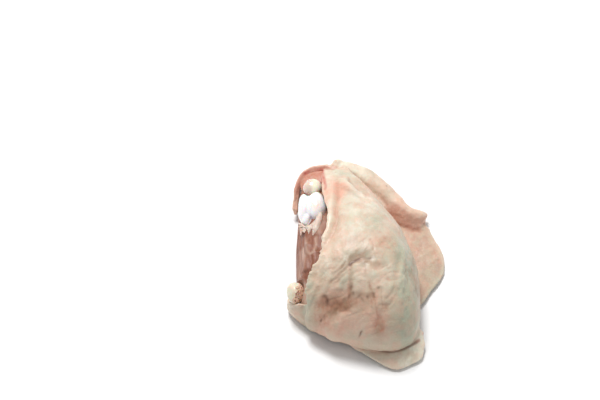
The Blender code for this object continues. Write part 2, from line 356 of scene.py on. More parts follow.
# An ellipsoid by rings from its top down, made uneven by a cloud
def ball(middle, halfSizes, rings, columns, uneven, cell, seed):
    fall = np.linspace(0.04, math.pi - 0.04, rings)[:, None]
    turn = np.linspace(0, 2 * math.pi, columns, endpoint=False)[None]
    out, up = np.sin(fall), np.cos(fall)
    sphere = np.stack([out * np.cos(turn), out * np.sin(turn), up + 0 * turn], -1)
    grid = np.array(middle) + sphere * np.array(halfSizes)
    return closedGrid(grid + uneven * sphere * cloud(grid, cell, seed)[..., None])


# Unit normals of an open grid: across its rows, then along its columns
def sheetNormals(grid):
    return unit(np.cross(np.gradient(grid, axis=0), np.gradient(grid, axis=1)))


# Rows of an arc round the open edge between two sides: the middle, and half the thickness out at each bend
def roundEdge(top, below, half, out, normal, bends):
    bend = np.radians(bends)[:, None, None]
    return (top + below) / 2 + half * (np.cos(bend) * out + np.sin(bend) * normal)


# A sheet from one edge curve to another with a round outer edge: each column is a loop over the outer side,
# round the edge and back on the inner side, which lies a thickness in along the sheet's normals
def sheet(inner, outer, thickness, edge, rise, rows=46, columns=150, uneven=0.0, cell=9.0, seed=0):
    first, last = pathThrough(inner, columns), pathThrough(outer, columns)
    share = np.linspace(0, 1, rows)[:, None, None]
    top = first + (last - first) * share
    swell = rise * np.sin(math.pi * share) * np.linspace(0.4, 1, columns)[None, :, None]
    swell = swell + uneven * clouds(top, cell, seed)[..., None] * np.sin(math.pi * share * 0.8)
    top = top + swell * sheetNormals(top)
    normal = sheetNormals(top)
    depth = thickness + (edge - thickness) * share**3
    below = top - normal * depth
    below[..., 2] = below[..., 2].clip(0.05)
    out = unit(top[-1] - top[-2])
    turned = roundEdge(top[-1], below[-1], depth[-1] / 2, out, normal[-1], [60, 30, 0, -30, -60])
    return closedGrid(np.concatenate([top, turned, below[::-1]]).transpose(1, 0, 2))


# The body's form


bodyForm = {
    "crown": (-2.0, 12.0),
    "outline": [
        (31.6, 10), (27, 28), (17.6, 46), (8, 62), (-3, 75), (-14, 81), (-24, 81), (-33, 75), (-38, 60),
        (-39, 38), (-40, 15), (-39, -4), (-36, -16.8), (-31, -21.8), (-25, -26.9), (-8, -34), (12, -38),
        (24.6, -34.4), (30.4, -24), (32.2, -8),
    ],
    "crownHeight": 46.0,
    "drops": [(17, 75, 1.6), (9, 55, 2), (7, 40, 1.5)],  # to the knee, hip and left: height, length, power
    "domePower": 2.25,  # 2 is an ellipse, more is boxier
    "tuck": 22.0,  # how far the side curls in under the body
    "waist": [
        (0, 11), (60, 12), (100, 16.5), (128, 17), (160, 14.5), (200, 12), (240, 10), (300, 10),
    ],
}


# Height of the body's top before the dome rounds it off: the crown less height * (way / length)^power
def crownHeight(x, y):
    crownX, crownY = bodyForm["crown"]
    drop = 0
    for way, (height, length, power) in zip((y - crownY, crownY - y, crownX - x), bodyForm["drops"]):
        drop = drop + height * np.clip(way / length, 0, None) ** power
    return bodyForm["crownHeight"] - drop


# Degrees round the crown
def angleOf(x, y):
    return np.degrees(np.arctan2(y - bodyForm["crown"][1], x - bodyForm["crown"][0])) % 360


# A share of the way out in plan as the even ring spacing that bodySurface reads
def ringPlace(share):
    out = np.clip(share, 0, 1)
    return 2 / math.pi * np.arcsin(out ** (bodyForm["domePower"] / 2)) + np.clip(share - 1, 0, None)


# Rings from the crown at 0, past the outline at 1, to the base at 2: superellipse above the waist,
# quarter circle tucking in below it
def bodySurface(place, rim):
    crown = np.array(bodyForm["crown"])
    power = 2 / bodyForm["domePower"]
    spoke = rim - crown
    waist = smoothThrough(bodyForm["waist"], angleOf(rim[:, 0], rim[:, 1]), 360)
    top = np.clip(place, 0, 1) * math.pi / 2
    under = np.clip(place - 1, 0, 1) * math.pi / 2
    scale = np.sin(top) ** power - bodyForm["tuck"] * (1 - np.cos(under)) / np.linalg.norm(spoke, axis=1)
    x = crown[0] + spoke[:, 0] * scale
    y = crown[1] + spoke[:, 1] * scale
    up = np.cos(top).clip(0) ** power
    z = np.where(place <= 1, waist + (crownHeight(x, y) - waist) * up, waist * (1 - np.sin(under)))
    return np.stack([x, y, z], -1)


# Outward unit normals of rings that run counter-clockwise, from the crown down
def gridNormals(rings):
    down = np.gradient(rings, axis=0)
    wide = np.concatenate([rings[:, -1:], rings, rings[:, :1]], 1)
    return unit(np.cross(down, wide[:, 2:] - wide[:, :-2]))


# How far out a plan position is: 0 at the crown, 1 on the outline
def bodyShare(x, y):
    rim = pathThrough(bodyForm["outline"], 720, closed=True)
    angles = angleOf(rim[:, 0], rim[:, 1])
    order = np.argsort(angles)
    reach = np.hypot(rim[:, 0] - bodyForm["crown"][0], rim[:, 1] - bodyForm["crown"][1])
    away = np.hypot(x - bodyForm["crown"][0], y - bodyForm["crown"][1])
    return away / np.interp(angleOf(x, y), angles[order], reach[order], period=360)


# Skin


skinForm = {
    "voxel": 0.63,
    "hem": [  # degrees round the crown, and how far out the skin reaches: 1 is the outline, 2 the base
        (0, 1.36), (16, 1.4), (50, 1.34), (62, 1.28), (85, 1.12), (97, 1.05), (102, 0.99), (106, 0.90),
        (109, 0.80), (113, 0.69), (118, 0.575), (126, 0.468), (134, 0.405), (141, 0.393), (153, 0.41),
        (171, 0.458), (190, 0.497), (199, 0.51), (205, 0.53), (210, 0.59), (214, 0.67), (218, 0.76),
        (223, 0.85), (229, 1), (236, 1.15), (250, 1.30), (300, 1.40), (335, 1.36),
    ],
    "thickness": [(0, 2.2), (95, 2.4), (130, 3.0), (190, 2.4), (205, 1.8), (230, 1.8), (300, 2.0)],
    "relief": [  # x, y, length, width, turn in degrees, height
        (-7, 70, 17, 3.6, -52, 2.2),  # ridge at the knee end
        (-2, -11, 7, 5.5, 60, 0.6),  # lumps below the dimple
        (-20.4, -18.8, 2.4, 1.8, 75, -0.5),  # pit
        (-13.5, -22.4, 10, 5.2, -6, -1.6),  # hollow beside the pit
        (-13, -28.5, 12, 3.0, 24, 1.1),  # band below the hollow
        (13, -20, 15, 12.0, 0, 1.6),  # belly
        (-14, -9, 12, 3.6, 45, 0.6),  # swelling above the hollow
        (22, 2, 16, 2.4, 84, 0.8),  # folds down the right side
        (18.5, -4, 13, 1.8, 80, -0.9), (3, 30, 9, 6, 60, 0.8), (25, 18, 9, 5, 70, -1.4),
        (-6, 22, 8, 4, 80, 0.6), (0, 44, 9, 3.4, -60, -0.8),
    ],
    "folds": [  # a line on the plan, half the width, depth: below 0 is a raised fold
        ([(-17, 60), (-16, 50), (-16, 41), (-17.1, 31), (-18.8, 22), (-20.8, 14.5), (-22.6, 8), (-24, 2)],
         2.5, -1.9),
        ([(-12.6, 58), (-12.4, 48), (-12.8, 40), (-13.7, 31), (-15, 22), (-17, 13.5), (-18.8, 7)],
         2.2, 1.5),
    ],
    "fine": [  # smaller forms, laid on after the pieces are fused
        (-25.5, -2, 2.4, 1.6, 30, 0.9), (-28, -6, 2.2, 1.5, 50, 0.9), (-29.5, -10.6, 2.2, 1.6, 60, 0.8),
        (-22, 2.2, 2.2, 1.4, 40, 0.6), (-24, -12.5, 2.4, 1.8, 20, 0.6), (-27.6, -15.2, 2.4, 1.6, 50, 0.7),
        (-4, -6.2, 2.2, 1.3, 0, 0.45), (-3.6, -12.6, 2.2, 1.8, 70, 0.5), (-10.5, -12.4, 2.6, 1.6, 50, 0.4),
        (2.6, -6.4, 2.2, 1.5, 20, 0.4), (4.4, -11.2, 2.3, 1.9, 80, 0.5), (-13.6, -15.8, 3, 1.5, 10, 0.4),
        (-4.7, -20.8, 1.3, 0.9, 30, -0.3), (2.1, -22.6, 1.3, 1, 90, -0.3), (4.9, -22.4, 1.2, 1.1, 90, -0.4),
        (7.9, -18.6, 1.4, 1, 20, -0.3), (11, -26.3, 1.3, 1.1, 0, -0.4), (13.2, -13.5, 1.4, 1, 0, -0.5),
        (-25.5, -11, 7, 1.4, 62, 0.6), (-29, -6.5, 3, 1.2, 20, 0.5), (12, 8, 6, 3, 30, -0.45),
        (18, 2, 7, 2.5, 60, 0.35), (5, 22, 8, 5, 20, 0.45), (-4, 34, 8, 4, 80, 0.5),
        (-9, 60, 6, 2.2, -60, 0.6), (-1, 52, 8, 1.5, -58, -0.5), (23, -16, 16, 2.2, 84, -0.5),
        (8.6, -32.2, 2.6, 2.2, 0, -0.6), (-20, -26.5, 5, 1.6, 20, 0.5), (-28, -21.5, 5, 1.8, 60, 0.5),
    ],
    "lines": [  # a line on the plan, the groove's width, its depth
        ([(-7.6, -5.4), (-10.9, -7.8), (-15.2, -11.2), (-19.5, -13.6)], 0.8, 0.5),
        ([(-9.0, -3.4), (-13, -6.8), (-17.5, -10.2)], 0.6, 0.4),
        ([(-10.4, -2.0), (-13.6, -4.4), (-17.4, -7.4)], 0.6, 0.3),
        ([(-8.5, -8.2), (-11.6, -10.6), (-15.4, -14.4)], 0.7, 0.4),
        ([(-7.2, -12.9), (-6.6, -15.4), (-7.2, -17.6)], 0.7, 0.4),
        ([(2.8, -16.7), (5.2, -22.5), (6.8, -27.3), (8.6, -31)], 0.55, 0.35),
        ([(1.8, -19.7), (3.6, -25.1), (5.2, -29.5)], 0.55, 0.25),
        ([(22.6, 1), (23.5, -6.7), (22.9, -16)], 1.0, 0.4),
        ([(25.0, -1), (25.8, -8), (25.2, -17)], 0.9, 0.3),
        ([(17.5, -16.6), (14, -20), (10.4, -24)], 0.9, 0.4),
        ([(20, -16), (15, -22.4), (11, -28.4)], 0.9, 0.3),
        ([(7.2, -1.5), (10.5, -2.7), (13, -6), (13.4, -10)], 0.9, 0.2),
        ([(-7.5, 66), (-3.2, 58), (1.4, 51), (6, 43)], 1.2, 0.6),
        ([(-14.5, -24.4), (-9.6, -25.4), (-4.4, -27.6)], 0.9, 0.4),
        ([(-21.5, -24.6), (-17, -26), (-12.4, -29)], 0.9, 0.3),
        ([(12.5, 10.6), (10.2, 7.0), (11, 3.8)], 0.9, 0.3),
        ([(3.4, 9.5), (5.8, 5.4), (5.2, 2.0)], 0.9, 0.3),
        ([(15.5, 8.5), (17.6, 4.0), (17, 0)], 0.9, 0.3),
    ],
    "lumpy": [  # x, y, length, width, turn, size of a lump, height
        (-2.5, -12, 8, 6, 70, 3.4, 0.7), (-13, -12, 9, 5, 40, 3.6, 0.6), (-25, -8, 10, 5, 60, 4, 0.7),
        (8, 2, 14, 10, 30, 5.5, 0.3), (6, -23, 8, 5, 100, 2.8, 0.4), (-13, -22, 9, 5, 0, 3, 0.5),
        (-8, 62, 14, 6, -56, 5, 0.7), (-2, 30, 16, 12, 80, 6, 0.4),
    ],
    "calm": [(-3, 5.5, 9, 4.6, 5, 0.85), (0, -4.8, 7, 2.2, 0, 0.595)],  # ground with hardly any lumps
    "steps": [  # a line from left to right, depth at both ends, how far up the plan the ground sinks to it
        ([(-8.4, -7.4), (-7.2, -5.3), (-5.8, -3.9), (-3.8, -2.8), (-1.2, -2.3), (3, -2.3), (8.2, -0.8)],
         1.1, 0.4, 3.6),
    ],
    "wrinkles": [  # x, y, length, width, turn, spacing, depth
        (-12, -9, 12, 7, 58, 2.1, 0.4),  # from the dimple down to the left
        (-12, -20.5, 12, 4.5, 6, 1.8, 0.45),  # across the hollow
        (-7, -27, 13, 6, 22, 2.0, 0.22),  # below the hollow
        (6.5, -24, 9, 4.5, 102, 1.4, 0.4),  # down from the lumps
        (24, -12, 22, 6, 86, 1.1, 0.25),  # right flank
        (-23, -8, 8, 5, 30, 1.8, 0.2),  # beside the ragged edge
        (12, -8, 13, 9, 35, 1.6, 0.3),  # right of the dimple
        (-8, 66, 16, 5, -52, 1.6, 0.25),  # knee ridge
        (6, 20, 22, 18, 50, 1.8, 0.16),  # upper body
        (-22, -24, 10, 6, 100, 1.5, 0.25),  # lower left
        (5, -34, 18, 5, 8, 1.5, 0.25),  # above the lip
    ],
    "bodyLumps": [(6.5, 21, 2, 0.42), (2.8, 22, 2, 0.12)],  # cell, seed, layers, height
    "spareLumps": [(4.5, 23, 3, 0.26), (2.0, 24, 2, 0.14)],  # on the flap, the roll, the lip and the rim
    "creaseCell": 4.6,  # fine creases over the body: their spacing and depth
    "creaseHeight": 0.1,
    "sheets": {  # how sheet makes each part that has an Inner and an Outer line below
        "flap": {"thickness": 2.5, "edge": 1.3, "rise": 1.5, "uneven": 0.8, "seed": 5},
        "lip": {"thickness": 3.0, "edge": 1.6, "rise": 0.4, "uneven": 0.6, "seed": 6},
        "rim": {
            "thickness": 2.4, "edge": 1.5, "rise": 0, "rows": 30, "columns": 90, "uneven": 0.3, "seed": 7,
        },
        "cuff": {
            "thickness": 1.8, "edge": 1.6, "rise": 2, "rows": 30, "columns": 90, "uneven": 0.4, "seed": 10,
        },
    },
    "bars": {  # how bar makes the round edges
        "rollPath": {
            "radii": [2.2, 4.2, 5.3, 5.8, 5.9, 5.8, 5.6, 5.1, 4, 1.3],
            "columns": 44, "rows": 170, "wobble": 0.5, "seed": 8,
        },
        "rollFill": {"radii": [4, 4.2, 3.8, 3.2, 3.2, 3, 2.4], "wobble": 0.4, "seed": 16},
        "rimInner": {"radii": [1.2, 1.2, 1.1, 1, 1, 1, 1, 0.9, 0.8], "rows": 110, "wobble": 0.4, "seed": 9},
        "cuffInner": {"radii": [0.9] * 4, "wobble": 0.3, "seed": 13},
    },
    "flapInner": [(29, -4, 5.5), (26, 18, 5.5), (17, 38, 5.8), (7, 56, 9), (-8, 76, 16)],
    "flapOuter": [
        (33, -7, 3.4), (37.4, 0.8, 3), (42, 7.4, 2.8), (46.4, 13.8, 2.6), (48.4, 19.2, 2.5),
        (48.8, 24.4, 2.5), (47.8, 31.4, 2.6), (45.4, 38, 2.6), (42.8, 45, 2.7), (40.8, 51.4, 3),
        (38, 57, 3.6),
    ],
    "rollPath": [
        (-16, 78.8, 24), (-7, 77.6, 21.5), (-0.3, 76.4, 18.8), (6.9, 73.2, 15.8), (13.8, 68.4, 13.2),
        (19.8, 62.3, 11), (24.9, 56.4, 9.6), (30.7, 53.4, 8), (36.7, 53.8, 6.5), (42.2, 57.6, 4.8),
    ],
    "rollFill": [  # under the crease
        (2, 70, 14.2), (9, 64.5, 12.2), (15.5, 58, 9.8), (20.6, 52.6, 7.4), (26, 50.2, 6.6),
        (32, 49.6, 5.8), (38, 51.4, 4.4),
    ],
    "rollGroove": (1.2, 0.45),  # half the width, depth
    "rollCrease": [
        (10, 64, 15), (16, 57, 11), (22.6, 48.8, 8), (27.1, 46, 6), (31.2, 44.6, 5.4), (35, 45.4, 5),
    ],
    "tissue": {  # knob of loose tissue where the roll starts
        "middle": (-11.4, 79.9, 25), "halfSizes": (3.2, 2.2, 2.2),
        "rings": 24, "columns": 36, "uneven": 0.6, "cell": 3, "seed": 14,
    },
    "raggedHem": (192, 204, 222, 232),  # degrees: starts, full, full, ends
    "tags": {"from": 197, "to": 224, "number": 12, "reach": (1.4, 2.8), "radii": [1.3, 1.1, 0.5]},
    "smoothing": 4,  # rounds of smoothing all over, and where the parts melt together
    "melting": 22,
    "lipInner": [(-8, -29, 6.5), (8, -32.6, 8.6), (22, -31, 10.2), (30, -22, 10.0)],
    "lipOuter": [
        (-10, -30.5, 6.5), (5.5, -39.8, 4.2), (12.8, -44, 2.7), (17, -45.3, 2.4), (21.4, -44.4, 2.4),
        (31.2, -39.4, 2.8), (33.7, -32.8, 3.8), (34, -24, 6.4),
    ],
    "rimInner": [
        (-12.5, 74, 23.2), (-17.3, 77.8, 24), (-21, 78.6, 23), (-24.5, 78.4, 22), (-28, 78, 21),
        (-31.3, 76.4, 19.8), (-34.4, 72.6, 17.4), (-36.6, 66, 12.5), (-37.6, 58, 7),
    ],
    "rimOuter": [
        (-12, 78, 12), (-19, 79.5, 10), (-25.5, 79, 8), (-31.8, 75.4, 6), (-35.6, 67, 4.6),
        (-37.2, 57, 4.4),
    ],
    "cuffInner": [  # the skin that comes round under the hip knob
        (-38.8, 1.5, 3.6), (-39.8, -5, 6.4), (-39, -9.6, 10.2), (-36.8, -12.6, 14), (-34, -14.2, 16.8),
        (-31, -15.4, 19.4), (-27, -18.6, 23.8), (-22, -23.4, 22),
    ],
    "cuffOuter": [
        (-38, 1.5, 2), (-39.8, -5, 1.8), (-39.2, -9.6, 1.8), (-35.6, -14.4, 2), (-31.4, -18.2, 2.2),
        (-27, -22, 2.8), (-22.8, -25.2, 4), (-19, -27.8, 6),
    ],
    "joins": [  # places where the parts melt into each other, and how far round them
        ((-26, -17, 21), 8), ((-22, -23, 14), 8), ((-29, -15, 18), 5), ((30, -4, 7), 8), ((28, 12, 7), 8),
        ((24, 30, 7), 8), ((31, -20, 7), 6), ((-8, -30, 7), 6), ((-14, 78, 24), 4), ((42, 55, 4), 8),
        ((31, -27, 8), 6), ((21, 54.5, 11), 6), ((27, 51, 9), 7), ((34, 50, 8), 8),
    ],
}


# The body's large relief on its plan: spots and long folds
def bodyRelief(points):
    x, y = strayed(points, 1.0, 6.0, 12)
    return spots(skinForm["relief"], x, y) + grooves(skinForm["folds"], x, y)


# The dome's closed shell: outer rings, a half circle round the hem, and inner rings back to the crown
def skinShell(rings=150, columns=720):
    rim = pathThrough(bodyForm["outline"], columns, closed=True)
    angle = angleOf(rim[:, 0], rim[:, 1])
    begins, full, fades, ends = skinForm["raggedHem"]
    torn = soft(angle, begins, full) * soft(angle, ends, fades)
    places = np.stack([angle, 0 * angle, 0 * angle], 1)
    ragged = 0.008 * cloud(places, 7.0, 3) + 0.014 * torn * cloud(places, 2.4, 4)
    hem = ringPlace(smoothThrough(skinForm["hem"], angle, 360) + ragged)
    outside = bodySurface(np.linspace(0.02, 1, rings)[:, None] * hem, rim)
    normal = gridNormals(outside)
    outside = outside + normal * bodyRelief(outside)[..., None]
    normal = gridNormals(outside)
    thick = smoothThrough(skinForm["thickness"], angle, 360)[None, :, None]
    inside = outside - normal * thick
    down = unit(outside[-1] - outside[-3])
    turned = roundEdge(outside[-1], inside[-1], thick / 2, down, normal[-1], [65, 35, 0, -35, -65])
    return closedGrid(np.concatenate([outside, turned, inside[::-1]])), turned[2]


# Small pointed tags of skin along a stretch of the hem
def raggedTags(hemLine, draw):
    form = skinForm["tags"]
    angle = angleOf(hemLine[:, 0], hemLine[:, 1])
    stretch = hemLine[(angle > form["from"]) & (angle < form["to"])]
    stretch = stretch[np.argsort(angleOf(stretch[:, 0], stretch[:, 1]))]
    tags = []
    for at in pathThrough(stretch[:: max(1, len(stretch) // 8)], form["number"] + 1)[:-1]:
        reach = draw.uniform(*form["reach"])
        tip = at + np.array([-reach, draw.uniform(-0.4, 0.7), -0.7])
        root = at + np.array([1.6, 0.4, 0.6])
        tags.append(bar([root, at, tip], form["radii"], flatten=0.7, columns=12, rows=16))
    return tags


# Shell, sheets, bars and tags fused into one closed skin, smoothed, melted at the joins and given relief
def makeSkin(material):
    draw = np.random.default_rng(11)
    shell, hemLine = skinShell()
    shapes = [shell]
    for name, form in skinForm["sheets"].items():
        shapes.append(sheet(skinForm[name + "Inner"], skinForm[name + "Outer"], **form))
    for name, form in skinForm["bars"].items():
        shapes.append(bar(skinForm[name], **form))
    shapes.append(ball(**skinForm["tissue"]))
    shapes += raggedTags(hemLine, draw)
    skin = fused("thighSkin", shapes, skinForm["voxel"])
    points = relaxed(skin, pointsOf(skin) / mm, skinForm["smoothing"])
    melted = relaxed(skin, points, skinForm["melting"], 0.7, 0.7)
    share = np.zeros(len(points))
    for middle, reach in skinForm["joins"]:
        share = np.maximum(share, around(points, middle, reach, 0.4 * reach))
    points = points + share[:, None] * (melted - points)
    setPoints(skin, points * mm)
    normal = normalsOf(skin)
    outward = np.sum(normal * (points - np.array([*bodyForm["crown"], 12.0])), 1) > 0
    body = outward * soft(bodyShare(*points[:, :2].T), 1.06, 0.99)
    points = points + normal * skinHeight(points, body)[:, None]
    points[:, 2] = points[:, 2].clip(0.02)
    setPoints(skin, points * mm)
    paintSkin(skin, points, body)
    settle(skin, material, "skin", "skin")


# Clouds of several sizes on top of each other
def lumps(layers, points):
    return sum(height * clouds(points, cell, seed, count) for cell, seed, count, height in layers)


# The skin's small relief: named forms, grooves and wrinkles on the body, and lumps and creases all over
def skinHeight(points, body):
    x, y = strayed(points, 1.1, 3.5, 15)
    raised = spots(skinForm["fine"], x, y) + grooves(skinForm["lines"], x, y)
    raised += steps(skinForm["steps"], x, y)
    raised += wrinkles(skinForm["wrinkles"], points)
    uneven = lumpy(skinForm["lumpy"], points) + lumps(skinForm["bodyLumps"], points)
    creased = np.exp(-((cloud(points, skinForm["creaseCell"], 25) / 0.22) ** 2))
    uneven -= skinForm["creaseHeight"] * creased * soft(cloud(points, 9.0, 26), -0.4, 0.6)
    width, depth = skinForm["rollGroove"]
    spare = lumps(skinForm["spareLumps"], points)
    spare -= depth * np.exp(-((nearLine(points, skinForm["rollCrease"])[0] / width) ** 2))
    return body * (raised + (1 - spots(skinForm["calm"], x, y)) * uneven) + (1 - body) * spare


tintSpots = {  # where each tint lies on the skin: x, y, length, width, turn, strength
    "pink": [
        (-12.6, 50, 10, 4.6, 76, 1.2), (-14.2, 28, 16, 1.9, 80, 0.5), (-19, 8, 14, 3, 70, 0.35),
        (-21, 66, 14, 3, 80, 0.4), (-15, -22, 12, 6, 0, 0.5), (-20, -27, 10, 6, 20, 0.45),
        (-4, -30, 14, 5, 10, 0.42), (-11, 68.5, 9, 5, -50, -1), (-4.6, 61.5, 6, 3, -50, -0.7),
        (-0.5, 37, 8, 5, -50, -0.6), (14.5, 20, 5, 4, -60, -0.4), (-15, 56, 5, 3, 80, 0.5),
        (5, -26, 9, 4, 100, 0.5), (11, 9, 8, 6, 40, 0.6), (-33, -16, 5, 4, 0, 0.5),
        (0, -43, 9, 4, -20, 0.35), (-26, -5, 8, 4, 60, 0.3), (-8, 52, 9, 3, 70, 0.3),
        (6, 58, 14, 3, -50, 0.8), (-12, 6, 8, 3, 60, 0.4), (12, -33, 8, 4, 0, 0.3), (18, 24, 9, 4, 70, 0.3),
        (-26, -20, 7, 4, 50, 0.5), (0, 2, 6, 3, 20, 0.3), (16, -22, 6, 3, 70, 0.3),
    ],
    "cream": [
        (-3, 30, 14, 9, 80, 0.8), (4, 18, 12, 10, 40, 0.35), (-9, 68, 17, 5, -54, 1.3),
        (-2, 50, 12, 5, -58, 0.6), (-17, 38, 18, 3, 84, 1.2), (4, 42, 7, 5, -50, 0.6),
        (-18, 66, 9, 2.4, 84, 0.8), (-21, 15, 9, 2.2, 70, 0.7), (-2, -9, 6, 5, 60, 0.3),
        (-8, 12, 9, 5, 70, 0.5), (10, -8, 14, 6, 20, 0.25), (28, -37, 8, 6, 40, 0.6),
        (-27, -7, 8, 2.4, 60, 0.6), (-23, 1, 5, 2, 50, 0.4),
    ],
    "grey": [
        (24, -14, 26, 6.5, 84, 1.05), (26, -30, 10, 6, 80, 0.55), (-30, -20, 9, 3.5, 100, 0.5),
        (16, -31, 16, 6, 10, 0.15), (17, 2, 14, 7, 60, 0.38), (-6, 66, 15, 4, -52, 0.5),
        # The spot at (-1, 0.8) is painted shade in the hollow that leads down into the dimple
        (-1, 0.8, 7, 3.2, 0, 0.8), (6, -43, 10, 4, -20, 0.7), (-11, -14, 5, 3, 40, 0.45),
        (4.5, -11, 4, 3, 80, 0.35), (9, 24, 12, 4, 60, 0.35), (-7, 22, 10, 2.4, 84, 0.3),
        (-11, -3, 8, 2, 50, 0.35), (19, 14, 12, 4, 70, 0.25), (14, -24, 12, 4, 60, 0.3),
        (24, 2, 18, 5, 82, 0.5), (3, 26, 16, 12, 60, 0.3), (12, 4, 10, 7, 40, 0.3),
        (-26, -6, 11, 5, 60, 0.45), (-27, -16, 7, 5, 80, 0.6), (-25, -25, 6, 3, 60, 0.1),
        (-16, -5, 9, 3, 50, 0.3), (-10, 66, 9, 5, -50, 0.25),
    ],
    "blush": [
        (8.6, -33.2, 3.4, 2.1, 0, 1.25), (7.8, -30.6, 2.6, 1.6, 0, 0.5), (-21.6, -19.6, 2.4, 1.7, 0, 1.3),
        (-14.5, -21.6, 7, 2.6, -8, 1), (-6, -22.4, 5, 1.6, 0, 0.4), (4.9, -22.5, 2.4, 1.8, 100, 0.6),
        (7.2, -28, 2.4, 1, 110, 0.4), (3.4, -17.5, 2.6, 0.9, 100, 0.6), (7.9, -18.7, 1.7, 1.2, 0, 0.5),
        (11, -26.3, 1.5, 1.2, 0, 0.5), (12.3, 11.5, 1.6, 1.2, 0, 0.7), (7, 5, 1.4, 1.2, 0, 0.6),
        (14, 5.5, 1.8, 1, 30, 0.6), (10, 8.5, 1, 0.9, 0, 0.5), (17, 9, 1.2, 0.8, 0, 0.5),
        (4, 9, 1, 0.8, 0, 0.5), (9, 15, 1.2, 0.9, 0, 0.4), (-15, -26.6, 9, 2.6, 6, 0.2),
        (9.9, -24.8, 3, 2.6, 0, 0.35), (-22.6, -23.9, 0.9, 0.5, 20, 0.5), (-20, -27.3, 1.1, 0.5, 0, 0.5),
        (-17.3, -29.8, 1.3, 0.6, 10, 0.45), (-12.6, -31.2, 1, 0.5, 30, 0.4),
        (-24.2, -21.9, 0.9, 0.5, 0, 0.45), (-15.3, -28.4, 0.8, 0.5, 0, 0.4),
        (-10.2, -29.6, 1.2, 0.5, 15, 0.35), (-18.8, -25.2, 0.8, 0.4, 0, 0.45), (-7.4, -9, 4, 0.8, 88, 0.5),
        (-7.8, -17.5, 3.4, 0.9, 88, 0.7), (6, -7.6, 1.6, 0.9, 0, 0.4), (-14.5, 45, 5, 2.2, 80, 0.25),
        (-12, 60, 8, 1.2, 80, 0.3), (2, 53, 9, 1.3, -54, 0.5), (13.2, -13.5, 1.5, 1, 0, 0.5),
    ],
    # Small dark marks on the skin, and painted shade in the dark pockets below the lumps
    "mark": [
        (-22.5, -25.7, 0.8, 0.5, 40, 0.9), (-1.4, -33.9, 0.9, 0.34, 18, 0.9),
        (-2.4, -20.6, 1.1, 0.7, 20, 0.5), (-5.6, -19, 0.9, 0.8, 0, 0.6), (1.9, -21.9, 0.8, 0.6, 90, 0.55),
        (-1, -22.4, 1.1, 0.6, 130, 0.4), (-7.7, -19.6, 1, 0.7, 60, 0.6), (-6.6, -16.4, 0.7, 1.3, 0, 0.4),
        (-7.4, -13.4, 0.6, 1.4, 0, 0.25), (-16, -23.4, 3, 0.7, 10, 0.3), (-11.5, -21.6, 2.6, 0.6, 30, 0.25),
        (4.9, -20.4, 0.9, 0.7, 0, 0.5), (7.6, -17.8, 0.9, 0.7, 0, 0.4), (-10.2, -20, 1.2, 0.7, 20, 0.35),
        (3, -16.6, 1.6, 0.5, 110, 0.3),
    ],
    "shade": [
        (-10, -22.2, 14, 4.2, -8, 0.3), (-14.5, -21.6, 6.5, 3, -8, 0.18), (-21, -19.6, 3, 2.2, 0, 0.1),
        (28, 2, 13, 2, 88, 0.25), (-18, -10, 14, 10, 40, 0.1), (-6.9, -17.8, 1.5, 2.6, 0, 0.4),
        (-1.6, -19.6, 3.6, 1.4, -15, 0.3), (4, -21.6, 3, 2.2, 0, 0.3), (-1.6, 0.2, 6.5, 2.6, 4, 0.42),
        (-6, -1.6, 2.2, 1.8, 30, 0.2), (-5.6, 8.5, 4, 4, 0, 0.28), (-7.3, 50.6, 6, 2.2, -50, 0.28),
        (0.7, -5.2, 4, 1.6, 0, 0.42), (7.4, -5.6, 4, 2, 0, 0.28), (-16.5, -24.4, 9, 2.2, 8, 0.4),
        (30, -11, 6, 2.2, 82, 0.25), (1, -4.4, 7, 1, 3, 0.12), (-6.4, -9, 1, 5, 0, 0.2),
        (8.6, -33.2, 3.2, 2.1, 0, 0.2), (16, -31, 5, 3, 0, 0.16), (-10.5, -5, 4.5, 1, 50, 0.3),
        (-3.5, -9.6, 4, 0.7, 10, 0.2), (0.6, -9, 0.7, 4, 0, 0.2),
    ],
}
